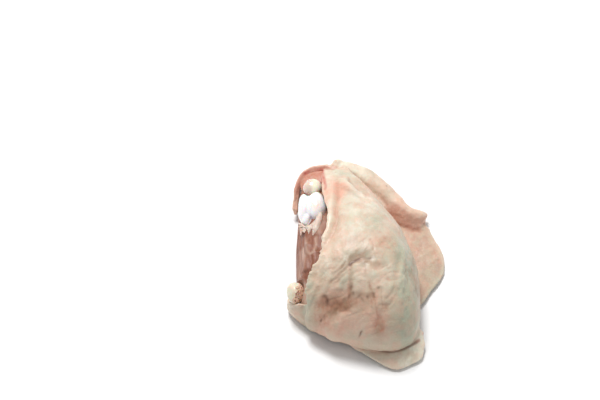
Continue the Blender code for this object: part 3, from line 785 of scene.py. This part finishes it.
skinPaint = {
    # Painted shadow under the dimple's upper lip
    "strokes": [  # dark lines: a line on the plan, half its width, strength
        ([(-7.8, -6.4), (-6.5, -4.7), (-5.0, -3.7), (-3.2, -2.9), (-0.8, -2.4)], 0.95, 1.0),
        ([(-1.6, -2.4), (3, -2.5), (7.4, -1.0)], 0.8, 0.5),
    ],
    "speck": (16.7, 67.6, 17.6),  # one dark speck on the roll
    "pitWidth": 0.95,
    "paths": {  # lines that the paint follows: the number of places along it, and the line
        "pit": (24, [
            (-22.9, -18.3, 29.2), (-22, -17.7, 30.3), (-20.4, -17.5, 31), (-19.2, -18.9, 30),
            (-19.3, -20.3, 28.2), (-20, -21.6, 26.3),
        ]),
        "hem": (24, [(-24, 76.4), (-20.6, 76), (-20.2, 68), (-19.6, 61), (-19.2, 55), (-19.6, 52)]),
        "lip": (30, [
            (-0.4, -36, 10.2), (5, -36.9, 7.8), (13.6, -37.6, 6.8), (21.2, -36.5, 7.5), (27.3, -33.2, 7.6),
            (30.6, -30.2, 6.5),
        ]),
        "red": (24, [
            (-33.5, 75.5, 18.5), (-30.8, 76, 19.5), (-27.3, 76.2, 20.3), (-23.2, 76, 21.5), (-21, 68, 26.5),
            (-20, 57.5, 30.5), (-20.7, 53, 31.5),
        ]),
        "roll": (30, skinForm["rollPath"]),
        "rim": (20, skinForm["rimInner"]),
        "crease": (24, skinForm["rollCrease"]),
        "flap": (30, skinForm["flapOuter"]),
    },
    "masks": {  # the mask it starts from; then for each bound what is measured, where it's 0 and where 1
        "rim": ["all", ("rimAway", 4.2, 2.4)],
        "hemFace": ["all", ("z", 20, 23)],
        "rollBody": ["all", ("rollAway", 6.4, 5.2), ("rollPlace", 0.02, 0.12), ("rollPlace", 1, 0.9)],
        "rollFoot": ["spare", ("rollAway", 9.6, 7.6), ("z", 4.4, 5.8), ("rollPlace", 0.5, 0.62)],
        "lip": ["spare", ("y", -26, -31)],
        "seam": ["all", ("x", -16.5, -19.5), ("y", 22, 34), ("y", 62, 50)],
        "wideEdge": ["all", ("y", 22, 34)],
        # Upward faces; the roll has less pink there, which is painted light on its top
        "topped": ["all", ("faceZ", 0.4, 0.9)],
        "sharpFlap": ["all", ("y", 27, 20), ("y", -4, 3)],
        # Painted shade in the crease under the roll, where its valleys are deepest
        "under": ["spare", ("creaseAway", 6, 2), ("broad", 0, 0.5)],
    },
    "zones": {  # for each tint: a strength and a mask or zone
        "pink": [
            (0.4, "paleFlap"), (0.4, "rollSide"), (0.5, "rollSide", ("rollPlace", 0.1, 0.4)), (0.7, "rim"),
            (0.1, "lip"), (0.6, "seam"),
        ],
        "cream": [
            # On the roll's and the rim's upward faces and on the hem's left-facing face by the joint the
            # cream is painted light; on the lip it is partly painted light towards the right end
            (0.35, "roll", ("faceZ", 0.3, 0.9)), (0.8, "roll", ("rollPlace", 0.6, 0.4)), (0.7, "edge"),
            (0.8, "hemFace", ("faceX", -0.1, -0.5), ("x", -15.5, -18), ("x", -27, -24), ("y", 55, 50)),
            (0.5, "spare", ("x", -26, -30), ("y", -6, -10)), (0.6, "lip"), (0.3, "lip", ("x", 14, 28)),
            (0.4, "seam"), (1.1, "rim", ("faceZ", 0.1, 0.8)),
        ],
        # Greyer towards the lip's left end, painted shade there; the flap's grey is its own colour
        "grey": [(0.3, "lip", ("x", 22, 6)), (0.25, "flap"), (0.6, "flap", ("y", 30, 8))],
        "blush": [
            # On the roll's faces turned down to the front, along the crease under the roll and along the
            # grooves the blush is painted shade
            (0.45, "all", ("y", 58, 66), ("faceY", 0.1, -0.5), ("x", -16, -20)),
            (0.3, "paleFlap", ("speck", 0, 0.6)), (0.2, "body", ("blotch", 0.2, 0.8)),
            (0.45, "roll", ("faceY", 0, -0.55), ("rollPlace", 0.3, 0.5), ("rollPlace", 0.95, 0.8)),
            (0.4, "roll", ("faceY", 0.1, -0.4), ("rollPlace", 0.6, 0.72), ("rollPlace", 0.92, 0.8)),
            (0.25, "spare", ("creaseAway", 4, 1), ("x", 10, 20)), (0.3, "under", ("x", 10, 20)),
            (0.35, "lined"), (0.8, "all", ("lipAway", 1.6, 0.5), ("lipPlace", 0.82, 0.95)),
        ],
        "mark": [
            # The lip's crease line, the grooves, the crease under the roll, the pit's arch and the dimple's
            # line are painted shade; the speck is a real dark speck
            (0.7, "all", ("lipAway", 1.1, 0.3), ("lipPlace", -0.05, 0.4), ("lipPlace", 1.04, 0.85)),
            (0.15, "lined"), (0.1, "under", ("x", 16, 24)), (0.9, "all", ("speckAway", 1, 0.4)),
            (1, "pitArch", ("pitPlace", 0, 0.3), ("pitPlace", 1.05, 0.75)), (1, "strokes"),
        ],
        "fat": [
            # The lip paler towards its right end and the roll paler on its upward and its down-turned faces
            # are painted light; the rest is pale fat
            (0.25, "patchyLip"), (0.75, "patchyLip", ("x", 15, 27)),
            (0.6, "roll", ("faceY", 0.1, -0.6), ("rollPlace", 0.75, 0.55)),
            (0.3, "roll", ("rollPlace", 0.62, 0.45)), (0.3, "roll", ("faceZ", 0.4, 0.9)),
            (0.7, "spare", ("x", 29, 31.5), ("y", -12, -18)),
        ],
        "red": [
            (0.6, "patchy", ("redAway", 1.9, 0.7), ("redPlace", 0, 0.1)),
            (0.49, "patchyRim", ("rimAway", 3.2, 1.6), ("faceY", 0.3, -0.4), ("rimPlace", 0.9, 0.6)),
            (0.8, "all", ("hemAway", 1.2, 0.3), ("z", 19, 22)),
            (0.8, "hemFace", ("faceX", -0.5, -0.9), ("x", -17, -18.5), ("y", 52, 57), ("y", 80, 76)),
        ],
        "shade": [],
        "plain": [(1, "roll"), (1, "rim"), (1, "all", ("tissueAway", 5, 3))],
    },
}


# How far each point lies below its smoothed neighbourhood, in millimetres: above 0 in a valley
def valleys(made, points, rounds):
    even = relaxed(made, points, rounds, 0.6, 0.6)
    return np.sum((even - points) * normalsOf(made), 1)


# A mask times a soft step for each bound
def zone(seen, mask, *bounds):
    part = seen[mask]
    for name, zero, full in bounds:
        part = part * soft(seen[name], zero, full)
    return part


# The tint fields: spots on the plan and zones by place and slope, broken up by clouds. Some of them are
# painted light and shade: paler raised places, darker valleys, and shade in creases, hollows and the dimple
def paintSkin(skin, points, body):
    x, y = strayed(points, 1.0, 4.0, 33)
    close = strayed(points, 0.35, 3.0, 36)
    mottle, speck = clouds(points, 5.0, 31), clouds(points, 1.9, 32, 2)
    fine, broad = valleys(skin, points, 3), valleys(skin, points, 22)
    faces = normalsOf(skin)
    seen = {
        "all": np.ones(len(points)), "body": body, "spare": 1 - body, "x": x, "y": y, "z": points[:, 2],
        "faceX": faces[:, 0], "faceY": faces[:, 1], "faceZ": faces[:, 2], "speck": speck, "broad": broad,
        "blotch": speck + 0.5 * mottle, "patchy": 1 + mottle, "patchyRim": 1 + 6 / 7 * mottle,
        # Painted shade along the body's grooves
        "lined": -body * grooves(skinForm["lines"], *points[:, :2].T),
        "strokes": -body * grooves(skinPaint["strokes"], *close),
        "speckAway": np.linalg.norm(points - np.array(skinPaint["speck"]), axis=1),
        "tissueAway": np.linalg.norm(points - np.array(skinForm["tissue"]["middle"]), axis=1),
    }
    for name, (count, line) in skinPaint["paths"].items():
        seen[name + "Away"], seen[name + "Place"] = nearLine(points, line, count)
    for name, bounds in skinPaint["masks"].items():
        seen[name] = zone(seen, *bounds)
    seen["roll"] = np.maximum(seen["rollBody"], seen["rollFoot"])
    # Painted light: the roll's top a little less pink than its sides
    seen["rollSide"] = seen["roll"] * (1 - 0.25 * seen["topped"])
    seen["flap"] = zone(seen, "spare", ("x", 14, 24), ("y", -14, -2)) * (1 - seen["roll"])
    seen["paleFlap"] = seen["flap"] * (1 - 0.6 * seen["sharpFlap"])
    seen["edge"] = soft(seen["flapAway"], 2.4 + 2.4 * seen["wideEdge"], 0.6)
    seen["patchyLip"] = seen["lip"] * (0.85 + 0.5 * mottle)
    # Painted shadow of the skin's arch that hangs over the pit
    pit = np.exp(-((seen["pitAway"] / skinPaint["pitWidth"]) ** 2))
    seen["pitArch"] = body * (0.75 + 0.3 * speck) * pit
    tints = {}
    for name, zones in skinPaint["zones"].items():
        at = (x, y) if name in ("pink", "cream", "grey") else close
        tints[name] = body * spots(tintSpots.get(name, []), *at)
        tints[name] += sum(strength * zone(seen, *bounds) for strength, *bounds in zones)
    # How deep each point lies in a valley: darker in valleys is painted shade, paler on raised places is
    # painted light
    dip = fine / 0.14 + broad / 0.5
    tints["pink"] = tints["pink"] * (1 + 0.6 * mottle) + 0.08 * speck
    tints["cream"] = tints["cream"] * (1 - 0.5 * mottle) + 0.24 * clouds(points, 5.0, 34, 2)
    tints["grey"] = tints["grey"] * (1 + 0.4 * mottle) + 0.26 * body * clouds(points, 6.0, 35, 2)
    tints["shade"] = 1.25 * tints["shade"] * (1 + 0.4 * speck)
    tints["thin"] = seen["flap"] * (1 - 0.7 * seen["edge"]) * (0.62 + 0.4 * mottle + 0.45 * soft(y, 8, -4))
    tints["dip"] = 0.5 * soft(dip, 0.0, 1.5) + 0.5 * soft(dip, 0.6, 3.0)
    tints["bump"] = soft(dip, 0.0, -1.6)
    for name, values in tints.items():
        giveField(skin, name, np.clip(values, 0, 1))


# Materials


# A colour from its screen values, 0 to 255, as the linear values that a shader reads
def tone(red, green, blue):
    channels = np.array([red, green, blue]) / 255
    return (*np.where(channels > 0.04045, ((channels + 0.055) / 1.055) ** 2.4, channels / 12.92), 1)


# A material with the values that are the same all over its surface
def newMaterial(name, surface):
    material = bpy.data.materials.new(name)
    material.use_nodes = True
    for label, value in surface.items():
        material.node_tree.nodes["Principled BSDF"].inputs[label].default_value = value
    return material


# Wet tissue: how much light goes in, how deep in millimetres, the film on top, and each colour's reach
def wet(share, depth, film, filmRoughness, ior, reach=(1.0, 0.2, 0.1)):
    return {
        "Subsurface Weight": share, "Subsurface Scale": depth * mm, "Subsurface Radius": reach,
        "Coat Weight": film, "Coat Roughness": filmRoughness, "IOR": ior,
    }


# A node with its settings; each input takes a value or another node's output
def addNode(material, kind, inputs=(), **settings):
    made = material.node_tree.nodes.new("ShaderNode" + kind)
    for name, value in settings.items():
        setattr(made, name, value)
    for label, value in dict(inputs).items():
        if isinstance(value, bpy.types.NodeSocket):
            material.node_tree.links.new(value, made.inputs[label])
        else:
            made.inputs[label].default_value = value
    return made


# Noise in millimetres on Object coordinates
def grain(material, size, detail=3.0, stretch=(1, 1, 1)):
    place = addNode(material, "TexCoord").outputs["Object"]
    place = addNode(material, "Mapping", {"Vector": place, "Scale": stretch}).outputs["Vector"]
    settings = {"Vector": place, "Scale": 1 / (size * mm), "Detail": detail}
    return addNode(material, "TexNoise", settings).outputs["Fac"]


# Round cells of a size in millimetres on Object coordinates: distance from each cell's middle
def cells(material, size):
    place = addNode(material, "TexCoord").outputs["Object"]
    settings = {"Vector": place, "Scale": 1 / (size * mm), "Randomness": 0.85}
    return addNode(material, "TexVoronoi", settings).outputs["Distance"]


# A value carried from one range to another, and kept within it
def ramp(material, value, low, high, toLow=0.0, toHigh=1.0):
    inputs = {"Value": value, "From Min": low, "From Max": high, "To Min": toLow, "To Max": toHigh}
    return addNode(material, "MapRange", inputs).outputs["Result"]


def field(material, name):
    return addNode(material, "Attribute", attribute_name=name).outputs["Fac"]


def blend(material, share, under, over):
    return addNode(material, "Mix", {0: share, 6: under, 7: over}, data_type="RGBA").outputs[2]


def times(material, a, b):
    return addNode(material, "Math", {0: a, 1: b}, operation="MULTIPLY").outputs[0]


# One colour over another where a noise of a size rises from one value to another, up to a strength
def patches(material, colour, over, size, rise, strength, detail=2.0, stretch=(1, 1, 1)):
    share = ramp(material, grain(material, size, detail, stretch), *rise, 0.0, strength)
    return blend(material, share, colour, over)


# Puts a colour, a roughness that varies in patches, and bumps with depths in millimetres on the shader
def finished(material, colour, patch, rough, bumps):
    normal = None
    for height, depth in bumps:
        inputs = {"Height": height, "Distance": depth * mm, "Strength": 1.0}
        if normal:
            inputs["Normal"] = normal
        normal = addNode(material, "Bump", inputs).outputs["Normal"]
    dry = ramp(material, grain(material, patch, 2.0), 0.3, 0.7, *rough)
    shader = material.node_tree.nodes["Principled BSDF"]
    for label, socket in (("Base Color", colour), ("Roughness", dry), ("Normal", normal)):
        material.node_tree.links.new(socket, shader.inputs[label])
    return material


skinLook = {
    "surface": wet(0.15, 1.2, 0.22, 0.3, 1.42, (1.0, 0.45, 0.3)),
    "base": tone(208, 190, 169),
    "tints": [  # each painted field in turn: its strength and its colour
        ("cream", 1.0, tone(231, 221, 202)),
        ("pink", 1.0, tone(230, 178, 155)),
        ("grey", 1.0, tone(179, 180, 158)),
        # Pale fat, also used as painted light on the roll and the lip's right end
        ("fat", 0.9, tone(246, 240, 220)),
        ("thin", 0.75, tone(186, 146, 128)),
        # Reddish blush, also used as painted shade on the roll's lower side and in creases
        ("blush", 0.75, tone(184, 112, 88)),
        ("red", 0.95, tone(190, 84, 74)),
    ],
    "rosy": tone(222, 172, 148),
    "olive": tone(200, 190, 162),
    "speckle": tone(204, 148, 122),
    "follicle": 1.5,  # millimetres across
    "follicleFat": tone(238, 226, 202),
    # The relief tints: painted light on raised places, painted shade in valleys, broad painted shade, and
    # dark marks with painted shade in creases
    "relief": [  # laid on last: paler bumps, darker dips and the dark places
        ("bump", 0.12, tone(236, 226, 204)),
        ("dip", 0.5, tone(176, 132, 108)),
        ("shade", 1.0, tone(132, 96, 68)),
        ("mark", 1.0, tone(104, 70, 52)),
    ],
}


def skinMaterial():
    look = skinLook
    material = newMaterial("thighSkin", look["surface"])
    colour = look["base"]
    for name, strength, tint in look["tints"]:
        colour = blend(material, times(material, field(material, name), strength), colour, tint)
    colour = patches(material, colour, look["rosy"], 6.5, (0.45, 0.62), 0.38)
    olive = ramp(material, grain(material, 5.5, 2.0, (1.3, 0.8, 1)), 0.48, 0.64, 0.0, 0.34)
    olive = times(material, olive, ramp(material, field(material, "plain"), 0.0, 1.0, 1.0, 0.2))
    colour = blend(material, olive, colour, look["olive"])
    colour = patches(material, colour, look["speckle"], 1.8, (0.56, 0.72), 0.12)
    follicles = cells(material, look["follicle"])
    colour = blend(material, ramp(material, follicles, 0.1, 0.5, 0.12, 0.0), colour, look["follicleFat"])
    for name, strength, tint in look["relief"]:
        colour = blend(material, times(material, field(material, name), strength), colour, tint)
    bumps = [(grain(material, 3.2, 2.0), 0.24), (follicles, -0.1), (grain(material, 0.7, 2.0), 0.07)]
    return finished(material, colour, 7.0, (0.4, 0.6), bumps)


# Flesh


fleshForm = {
    "skinRoom": 3.7,  # how far the flesh lies under the body's surface
    # Degrees round the crown, and how bare the flesh lies there
    "bare": [(92, 0), (106, 1), (150, 1), (212, 1), (228, 0), (300, 0)],
    "bareSink": 1.6,  # how much deeper it lies where it's bare
    "hollowRoom": 1.9,  # how much deeper it lies under a hollow of the skin, for each millimetre of it
    "closing": 0.4,  # the last stretch down to the base, over which the room closes
    "bundles": [(4.4, 51, 1.4), (1.8, 52, 0.3)],  # ridges of flesh: cell, seed, height
    "bundleStretch": 0.16,  # less is longer along y
    "relief": [  # x, y, length, width, turn in degrees, height
        (-24, 24, 30, 4.6, 84, -4.2),  # slot by the skin's edge
        (-35, 10, 20, 3.0, 82, 1.2),  # along the outer side
        (-28.5, -2, 12, 2.2, 76, -1.8),  # beside the bundle down to the hip knob
    ],
    "pocketGap": 0.15,  # between the flesh and a hard ellipsoid in it
    # Under the hip knob the flesh is paler, standing in for the sawn bone's colour and painting light into
    # the shaded gap there
    "palePlace": ((-32, -9, 17), 11, 6),  # under the hip knob: middle, reach, fade
    "paleStretch": 0.14,
    "cords": [  # tendons and folds of membrane: their line on the plan, half the width, height, paleness
        ([(-31.4, 20), (-32.2, 13), (-33.0, 6.5), (-34.0, 0)], 2.1, 1.3, 0.75),
        ([(-30.4, 24), (-30.6, 16.5), (-29, 11.4), (-26.9, 11.2), (-25.2, 15.4), (-24.8, 24)],
         0.8, 0.8, 0.6),
        ([(-30.0, 13), (-29.2, 7), (-30.6, 0)], 1.5, 0.7, 0.12),
        ([(-20.6, 50), (-21.2, 40), (-22.6, 28), (-23, 22)], 2.4, 0.4, 0.5),
    ],
    "wisps": [  # whitish shreds below the joint: their line in space, radius, paleness
        ([(-21.8, 38.6, 31.6), (-23.4, 32.6, 30.8), (-24.8, 26.4, 29.6), (-25.0, 21.0, 28.6)], 1.5, 0.9),
        ([(-34.2, 37.0, 22.6), (-33.2, 33.4, 26.4), (-31.0, 30.0, 28.6), (-28.6, 28.4, 29.4)], 0.7, 0.8),
        ([(-32.6, 31.6, 27.0), (-33.0, 28.6, 27.0), (-33.2, 25.4, 26.4)], 0.9, 0.5),
        ([(-29.4, 30.6, 29.6), (-28.6, 27.4, 29.8), (-28.9, 24.4, 29.0)], 0.8, 0.95),
        ([(-26.4, 28.6, 29.9), (-26.2, 25.6, 29.8), (-26.8, 22.4, 28.9)], 0.7, 1.0),
    ],
    "web": {  # ragged whitish tissue along the joint's lower edge
        "thickness": 1.0, "edge": 0.5, "rise": 0.5, "rows": 30, "columns": 90, "uneven": 1.1, "cell": 2.2,
        "seed": 47,
        "inner": [(-33.9, 35, 24.6), (-32.6, 31.6, 27), (-28.4, 31.4, 28.8), (-24.6, 34.8, 30)],
        "outer": [
            (-33.9, 28, 25.8), (-32.8, 29.6, 27.2), (-31.4, 26.4, 28.2), (-30.2, 29, 28.9),
            (-28.6, 25.2, 29.2), (-27.2, 28.2, 29.6), (-25.6, 26, 29.6),
        ],
    },
    "membrane": {  # behind the kneecap, from the rim down
        "thickness": 1.1, "edge": 0.8, "rise": 0.6, "rows": 24, "columns": 70, "uneven": 0.5, "cell": 4.0,
        "seed": 46,
        "inner": [
            (-33.6, 71.8, 16.6), (-30.9, 75.2, 19), (-27.8, 76.6, 20.2), (-24.4, 77, 21.2), (-18.6, 77, 22),
        ],
        "outer": [
            (-33, 64.5, 18.5), (-30.5, 67.2, 20), (-27, 68.4, 21), (-23, 67.8, 22), (-18.4, 66.4, 22.6),
        ],
    },
}


# Everything over each hard ellipsoid goes down to just below its underside
def pocketed(grid, balls):
    for middle, halves in balls:
        room = np.array(halves) + fleshForm["pocketGap"]
        wide = (grid - np.array(middle)) / room
        inPlan = 1 - wide[..., 0] ** 2 - wide[..., 1] ** 2
        under = middle[2] - room[2] * np.sqrt(inPlan.clip(0))
        grid[..., 2] = np.where((inPlan > 0) & (grid[..., 2] > under), under.clip(0.5), grid[..., 2])
    return grid


# Height and paleness of the tendons over the plan: exp(-(distance / width)^2) along each line
def cordsOn(points):
    flat = points[..., :2].reshape(-1, 2)
    lift, pale = np.zeros(len(flat)), np.zeros(len(flat))
    for line, width, height, paleness in fleshForm["cords"]:
        away, place = nearLine(flat, line)
        shape = np.exp(-((away / width) ** 2)) * soft(place, 0, 0.15) * soft(place, 1, 0.9)
        lift, pale = np.maximum(lift, height * shape), np.maximum(pale, paleness * shape)
    return lift.reshape(points.shape[:-1]), pale.reshape(points.shape[:-1])


# Rings of the body drawn in by the skin's room, deeper where it lies bare, with bundles along the bone
def makeFlesh(material, rings=150, columns=560):
    rim = pathThrough(bodyForm["outline"], columns, closed=True)
    share = np.concatenate([np.linspace(0.03, 1, rings - 30), np.linspace(1.03, 2, 30)])[:, None]
    grid = bodySurface(np.broadcast_to(share, (rings, columns)), rim)
    normal = gridNormals(grid)
    x, y = strayed(grid, 1.0, 6.0, 12)
    angle = angleOf(rim[:, 0], rim[:, 1])
    bare = smoothThrough(fleshForm["bare"], angle, 360).clip(0, 1) * np.clip(1.25 - share, 0, 1)
    inset = fleshForm["skinRoom"] - fleshForm["hollowRoom"] * bodyRelief(grid).clip(None, 0)
    inset = inset + bare * (fleshForm["bareSink"] - spots(fleshForm["relief"], x, y))
    along = grid * np.array([1.0, fleshForm["bundleStretch"], 1.0])
    bundles = sum(height * np.abs(cloud(along, cell, seed)) for cell, seed, height in fleshForm["bundles"])
    inset = inset + soft(bare, 0, 0.6) * (0.6 - bundles - cordsOn(grid)[0])
    inset = inset * np.clip((2 - share) / fleshForm["closing"], 0, 1)
    grid = grid - normal * inset[..., None]
    grid = pocketed(grid, [*boneForm["lobes"], knobForm["kneecap"], knobForm["hip"]])
    grid[..., 2] = grid[..., 2].clip(0)
    grid[-1, :, 2] = 0.0
    flesh = meshObject("bareFlesh", *closedGrid(grid))
    points = pointsOf(flesh)
    stretched = points * np.array([1.0, fleshForm["paleStretch"], 1.0])
    cordPale = cordsOn(points)[1] * soft(normalsOf(flesh)[:, 2], 0.2, 0.6)
    # Paler round the place under the hip knob: the sawn bone's colour, and painted light in the shaded gap
    cordPale += 0.8 * around(points, *fleshForm["palePlace"])
    giveField(flesh, "pale", np.clip(0.2 + 0.6 * clouds(stretched, 3.2, 61) + cordPale, 0, 1))
    giveField(flesh, "cord", cordPale)
    giveField(flesh, "blood", soft(clouds(points, 5.0, 62), 0.0, 0.7))
    setPoints(flesh, points * mm)
    settle(flesh, material, "meat", "meat")


# Torn shreds and webs of membrane round the joint: flattened bars and thin sheets
def makeMembranes(material):
    shapes, pale = [], []
    for number, (line, radius, paleness) in enumerate(fleshForm["wisps"]):
        radii = [radius * s for s in (0.4, 1, 0.9, 0.3)]
        shapes.append(bar(line, radii, 0.6, columns=20, rows=60, wobble=0.9 * radius, seed=30 + number))
        pale.append(paleness)
    shapes += [sheet(**fleshForm["membrane"]), sheet(**fleshForm["web"])]
    pale += [0.1, 0.8]
    made = meshObject("membranes", *together(shapes))
    points = pointsOf(made)
    counts = [len(shape[0]) for shape in shapes]
    giveField(made, "pale", np.clip(np.repeat(pale, counts) + 0.3 * clouds(points, 1.5, 63, 2), 0, 1))
    giveField(made, "blood", 0.5 * soft(clouds(points, 2.0, 64), 0.1, 0.7))
    setPoints(made, points * mm)
    settle(made, material, "meat")


# Fibres along y between two colours, paler on the cords, with patches of blood
def fleshMaterial(name, dark, light, blood):
    material = newMaterial(name, wet(0.25, 1.6, 0.1, 0.3, 1.4, (1.0, 0.35, 0.2)))
    fibre = grain(material, 1.1, 4.0, (1, 0.12, 1))
    colour = blend(material, field(material, "pale"), dark, light)
    colour = blend(material, times(material, field(material, "blood"), 0.6), colour, blood)
    colour = blend(material, times(material, field(material, "cord"), 0.7), colour, tone(214, 190, 172))
    colour = blend(material, ramp(material, fibre, 0.5, 0.75, 0.0, 0.18), colour, tone(206, 160, 138))
    return finished(material, colour, 4.0, (0.36, 0.6), [(fibre, 0.35), (grain(material, 0.9, 3.0), 0.14)])


# Bone and cartilage


boneForm = {
    "lobes": [  # middle, half sizes
        ((-31.3, 44.6, 25.5), (3.4, 9.9, 7.2)), ((-24.6, 45, 26.3), (6.2, 9.7, 7.5)),
        ((-28.8, 44.4, 25.4), (3.6, 9.2, 7)), ((-30.2, 37.2, 25), (2.8, 5.6, 5)),
    ],
    "shaft": [
        (-28, 42, 24), (-27.4, 32, 23.5), (-27.2, 18, 22), (-28.5, 8, 17), (-30.5, 0, 13),
        (-31.5, -5, 11.5),
    ],
    "shaftRadius": 4.1,
    "voxel": 0.5,
    "smoothing": 10,
    "hollow": (-24.6, 41.5, 3.2, 2.2, 80, 0.8),  # pinkish place between the lobes, as in the skin's relief
}


# The shaft and the joint's lobes fused into one, smoothed and made slightly uneven
def makeBone(material):
    shapes = [bar(boneForm["shaft"], [boneForm["shaftRadius"]] * 6, rows=80)]
    for number, (middle, halves) in enumerate(boneForm["lobes"]):
        shapes.append(ball(middle, halves, 40, 60, 0.45, 6.0, 70 + number))
    bone = fused("thighBone", shapes, boneForm["voxel"])
    points = relaxed(bone, pointsOf(bone) / mm, boneForm["smoothing"])
    setPoints(bone, points * mm)
    points = points + normalsOf(bone) * (0.25 * clouds(points, 3.0, 72))[:, None]
    setPoints(bone, points * mm)
    giveField(bone, "cap", soft(points[:, 1] + 1.8 * clouds(points, 4.0, 73), 30.0, 32.0))
    giveField(bone, "hollow", spots([boneForm["hollow"]], *points[:, :2].T))
    # Painted shade: bluish grey in the valleys between the lobes
    giveField(bone, "boneGrooveShade", soft(valleys(bone, points, 20), 0.02, 0.25))
    settle(bone, material, "bone", "femur")


# White cartilage, with painted shade in its grooves, over the reddish shaft
def boneMaterial():
    material = newMaterial("jointCartilage", wet(0.3, 2.0, 0.8, 0.06, 1.5))
    raw, dry = tone(186, 136, 116), tone(214, 178, 158)
    shaft = patches(material, raw, dry, 2.0, (0.35, 0.7), 1.0, 4.0, (1, 0.3, 1))
    white = patches(material, tone(252, 252, 252), tone(236, 238, 243), 5.0, (0.4, 0.7), 0.35, 3.0)
    white = blend(material, times(material, field(material, "boneGrooveShade"), 0.7), white, tone(196, 204, 216))
    white = blend(material, field(material, "hollow"), white, tone(250, 226, 206))
    colour = blend(material, field(material, "cap"), shaft, white)
    bumps = [(grain(material, 3.0, 3.0), 0.12), (grain(material, 0.8, 2.0), 0.03)]
    return finished(material, colour, 3.0, (0.12, 0.28), bumps)


knobForm = {
    "kneecap": ((-26.5, 60.5, 25.0), (5.6, 5.0, 5.2)),  # middle, half sizes
    "hip": ((-36.2, -5.8, 16.4), (4.7, 6.2, 5.6)),
    "hipCut": (0.9, -0.35, -0.1),  # the way that the sawn, spongy side faces
    "grid": (90, 140),  # rings, columns
}


# The dome above the joint, yellower on its right
def makeKneecap(material):
    middle, halves = knobForm["kneecap"]
    points, quads, triangles = ball(middle, halves, *knobForm["grid"], 0.45, 4.0, 81)
    cap = meshObject("kneeCap", points * mm, quads, triangles)
    giveField(cap, "yellow", soft(points[:, 0] + 0.8 * clouds(points, 3.0, 82), -27.8, -25.6))
    settle(cap, material, "kneecap", "kneecap")


# Slightly clear, from pinkish to yellowish white
def kneecapMaterial():
    material = newMaterial("kneecap", wet(0.4, 3.0, 0.6, 0.1, 1.45))
    colour = blend(material, field(material, "yellow"), tone(226, 204, 188), tone(246, 240, 218))
    colour = patches(material, colour, tone(246, 228, 204), 2.4, (0.4, 0.7), 0.35, 4.0)
    return finished(material, colour, 3.0, (0.2, 0.38), [(grain(material, 1.8, 3.0), 0.2)])


# The knob at the cut hip joint, which knows its sawn side
def makeHipKnob(material):
    middle, halves = knobForm["hip"]
    points, quads, triangles = ball(middle, halves, *knobForm["grid"], 0.6, 4.0, 91)
    knob = meshObject("hipKnob", points * mm, quads, triangles)
    toCut = (points - np.array(middle)) / np.array(halves) @ np.array(knobForm["hipCut"])
    giveField(knob, "cut", soft(toCut + 0.25 * clouds(points, 2.0, 92), -0.05, 0.2))
    settle(knob, material, "cartilage", "hip_cartilage")


# Smooth cartilage, and spongy bone with pores where it's sawn
def knobMaterial():
    material = newMaterial("hipCartilage", wet(0.3, 2.0, 0.3, 0.2, 1.45))
    cut = field(material, "cut")
    pores = ramp(material, cells(material, 1.1), 0.15, 0.5)
    spongy = blend(material, pores, tone(160, 104, 80), tone(230, 194, 168))
    smooth = patches(material, tone(230, 222, 200), tone(222, 204, 178), 3.0, (0.4, 0.7), 0.6, 3.0)
    bumps = [(times(material, pores, cut), 0.5), (grain(material, 1.4, 3.0), 0.15)]
    return finished(material, blend(material, cut, smooth, spongy), 3.0, (0.25, 0.45), bumps)


# Floor, light and camera


# A white floor, an even pale sky and one soft lamp from behind on the left
def makeStage():
    look = {
        "floor": tone(250, 250, 250),
        "sky": 0.45,
        "key": 31.5,  # watts
        "keyAt": (-0.32, 0.78, 1.70),
        "keySize": 0.6,
    }
    floor = meshObject("floor", np.array([(-3, -3, 0), (3, -3, 0), (3, 3, 0), (-3, 3, 0)], float),
                       np.array([[0, 1, 2, 3]]), np.zeros((0, 3), int))
    floor.data.materials.append(newMaterial("floor", {"Base Color": look["floor"], "Roughness": 0.7}))
    world = bpy.data.worlds.new("studio")
    bpy.context.scene.world = world
    world.use_nodes = True
    sky = world.node_tree.nodes["Background"]
    sky.inputs["Color"].default_value = (1, 1, 1, 1)
    sky.inputs["Strength"].default_value = look["sky"]
    lamp = bpy.data.lights.new("key", "AREA")
    lamp.energy = look["key"]
    lamp.size = look["keySize"]
    key = bpy.data.objects.new("key", lamp)
    key.location = look["keyAt"]
    key.rotation_euler = (-Vector(look["keyAt"])).to_track_quat("-Z", "Y").to_euler()
    bpy.context.scene.collection.objects.link(key)
    bpy.context.scene.view_settings.view_transform = "Standard"


# The camera looks at a place on the floor from an elevation in degrees and a distance in metres
def makeCamera():
    view = {"lookAt": (-0.0377, 0.0529, 0.0), "elevation": 52.0, "distance": 0.7, "lens": 70.0}
    data = bpy.data.cameras.new("camera")
    data.lens = view["lens"]
    camera = bpy.data.objects.new("camera", data)
    tilt = math.radians(view["elevation"])
    back = Vector((0, -math.cos(tilt), math.sin(tilt)))
    camera.location = Vector(view["lookAt"]) + back * view["distance"]
    camera.rotation_euler = (-back).to_track_quat("-Z", "Y").to_euler()
    bpy.context.scene.collection.objects.link(camera)
    bpy.context.scene.camera = camera


makeCamera()
makeStage()
print("stage ready")
makeSkin(skinMaterial())
makeFlesh(fleshMaterial("flesh", tone(136, 82, 60), tone(158, 108, 86), tone(120, 66, 48)))
makeMembranes(fleshMaterial("membrane", tone(196, 132, 110), tone(222, 206, 192), tone(186, 96, 82)))
makeBone(boneMaterial())
makeKneecap(kneecapMaterial())
makeHipKnob(knobMaterial())
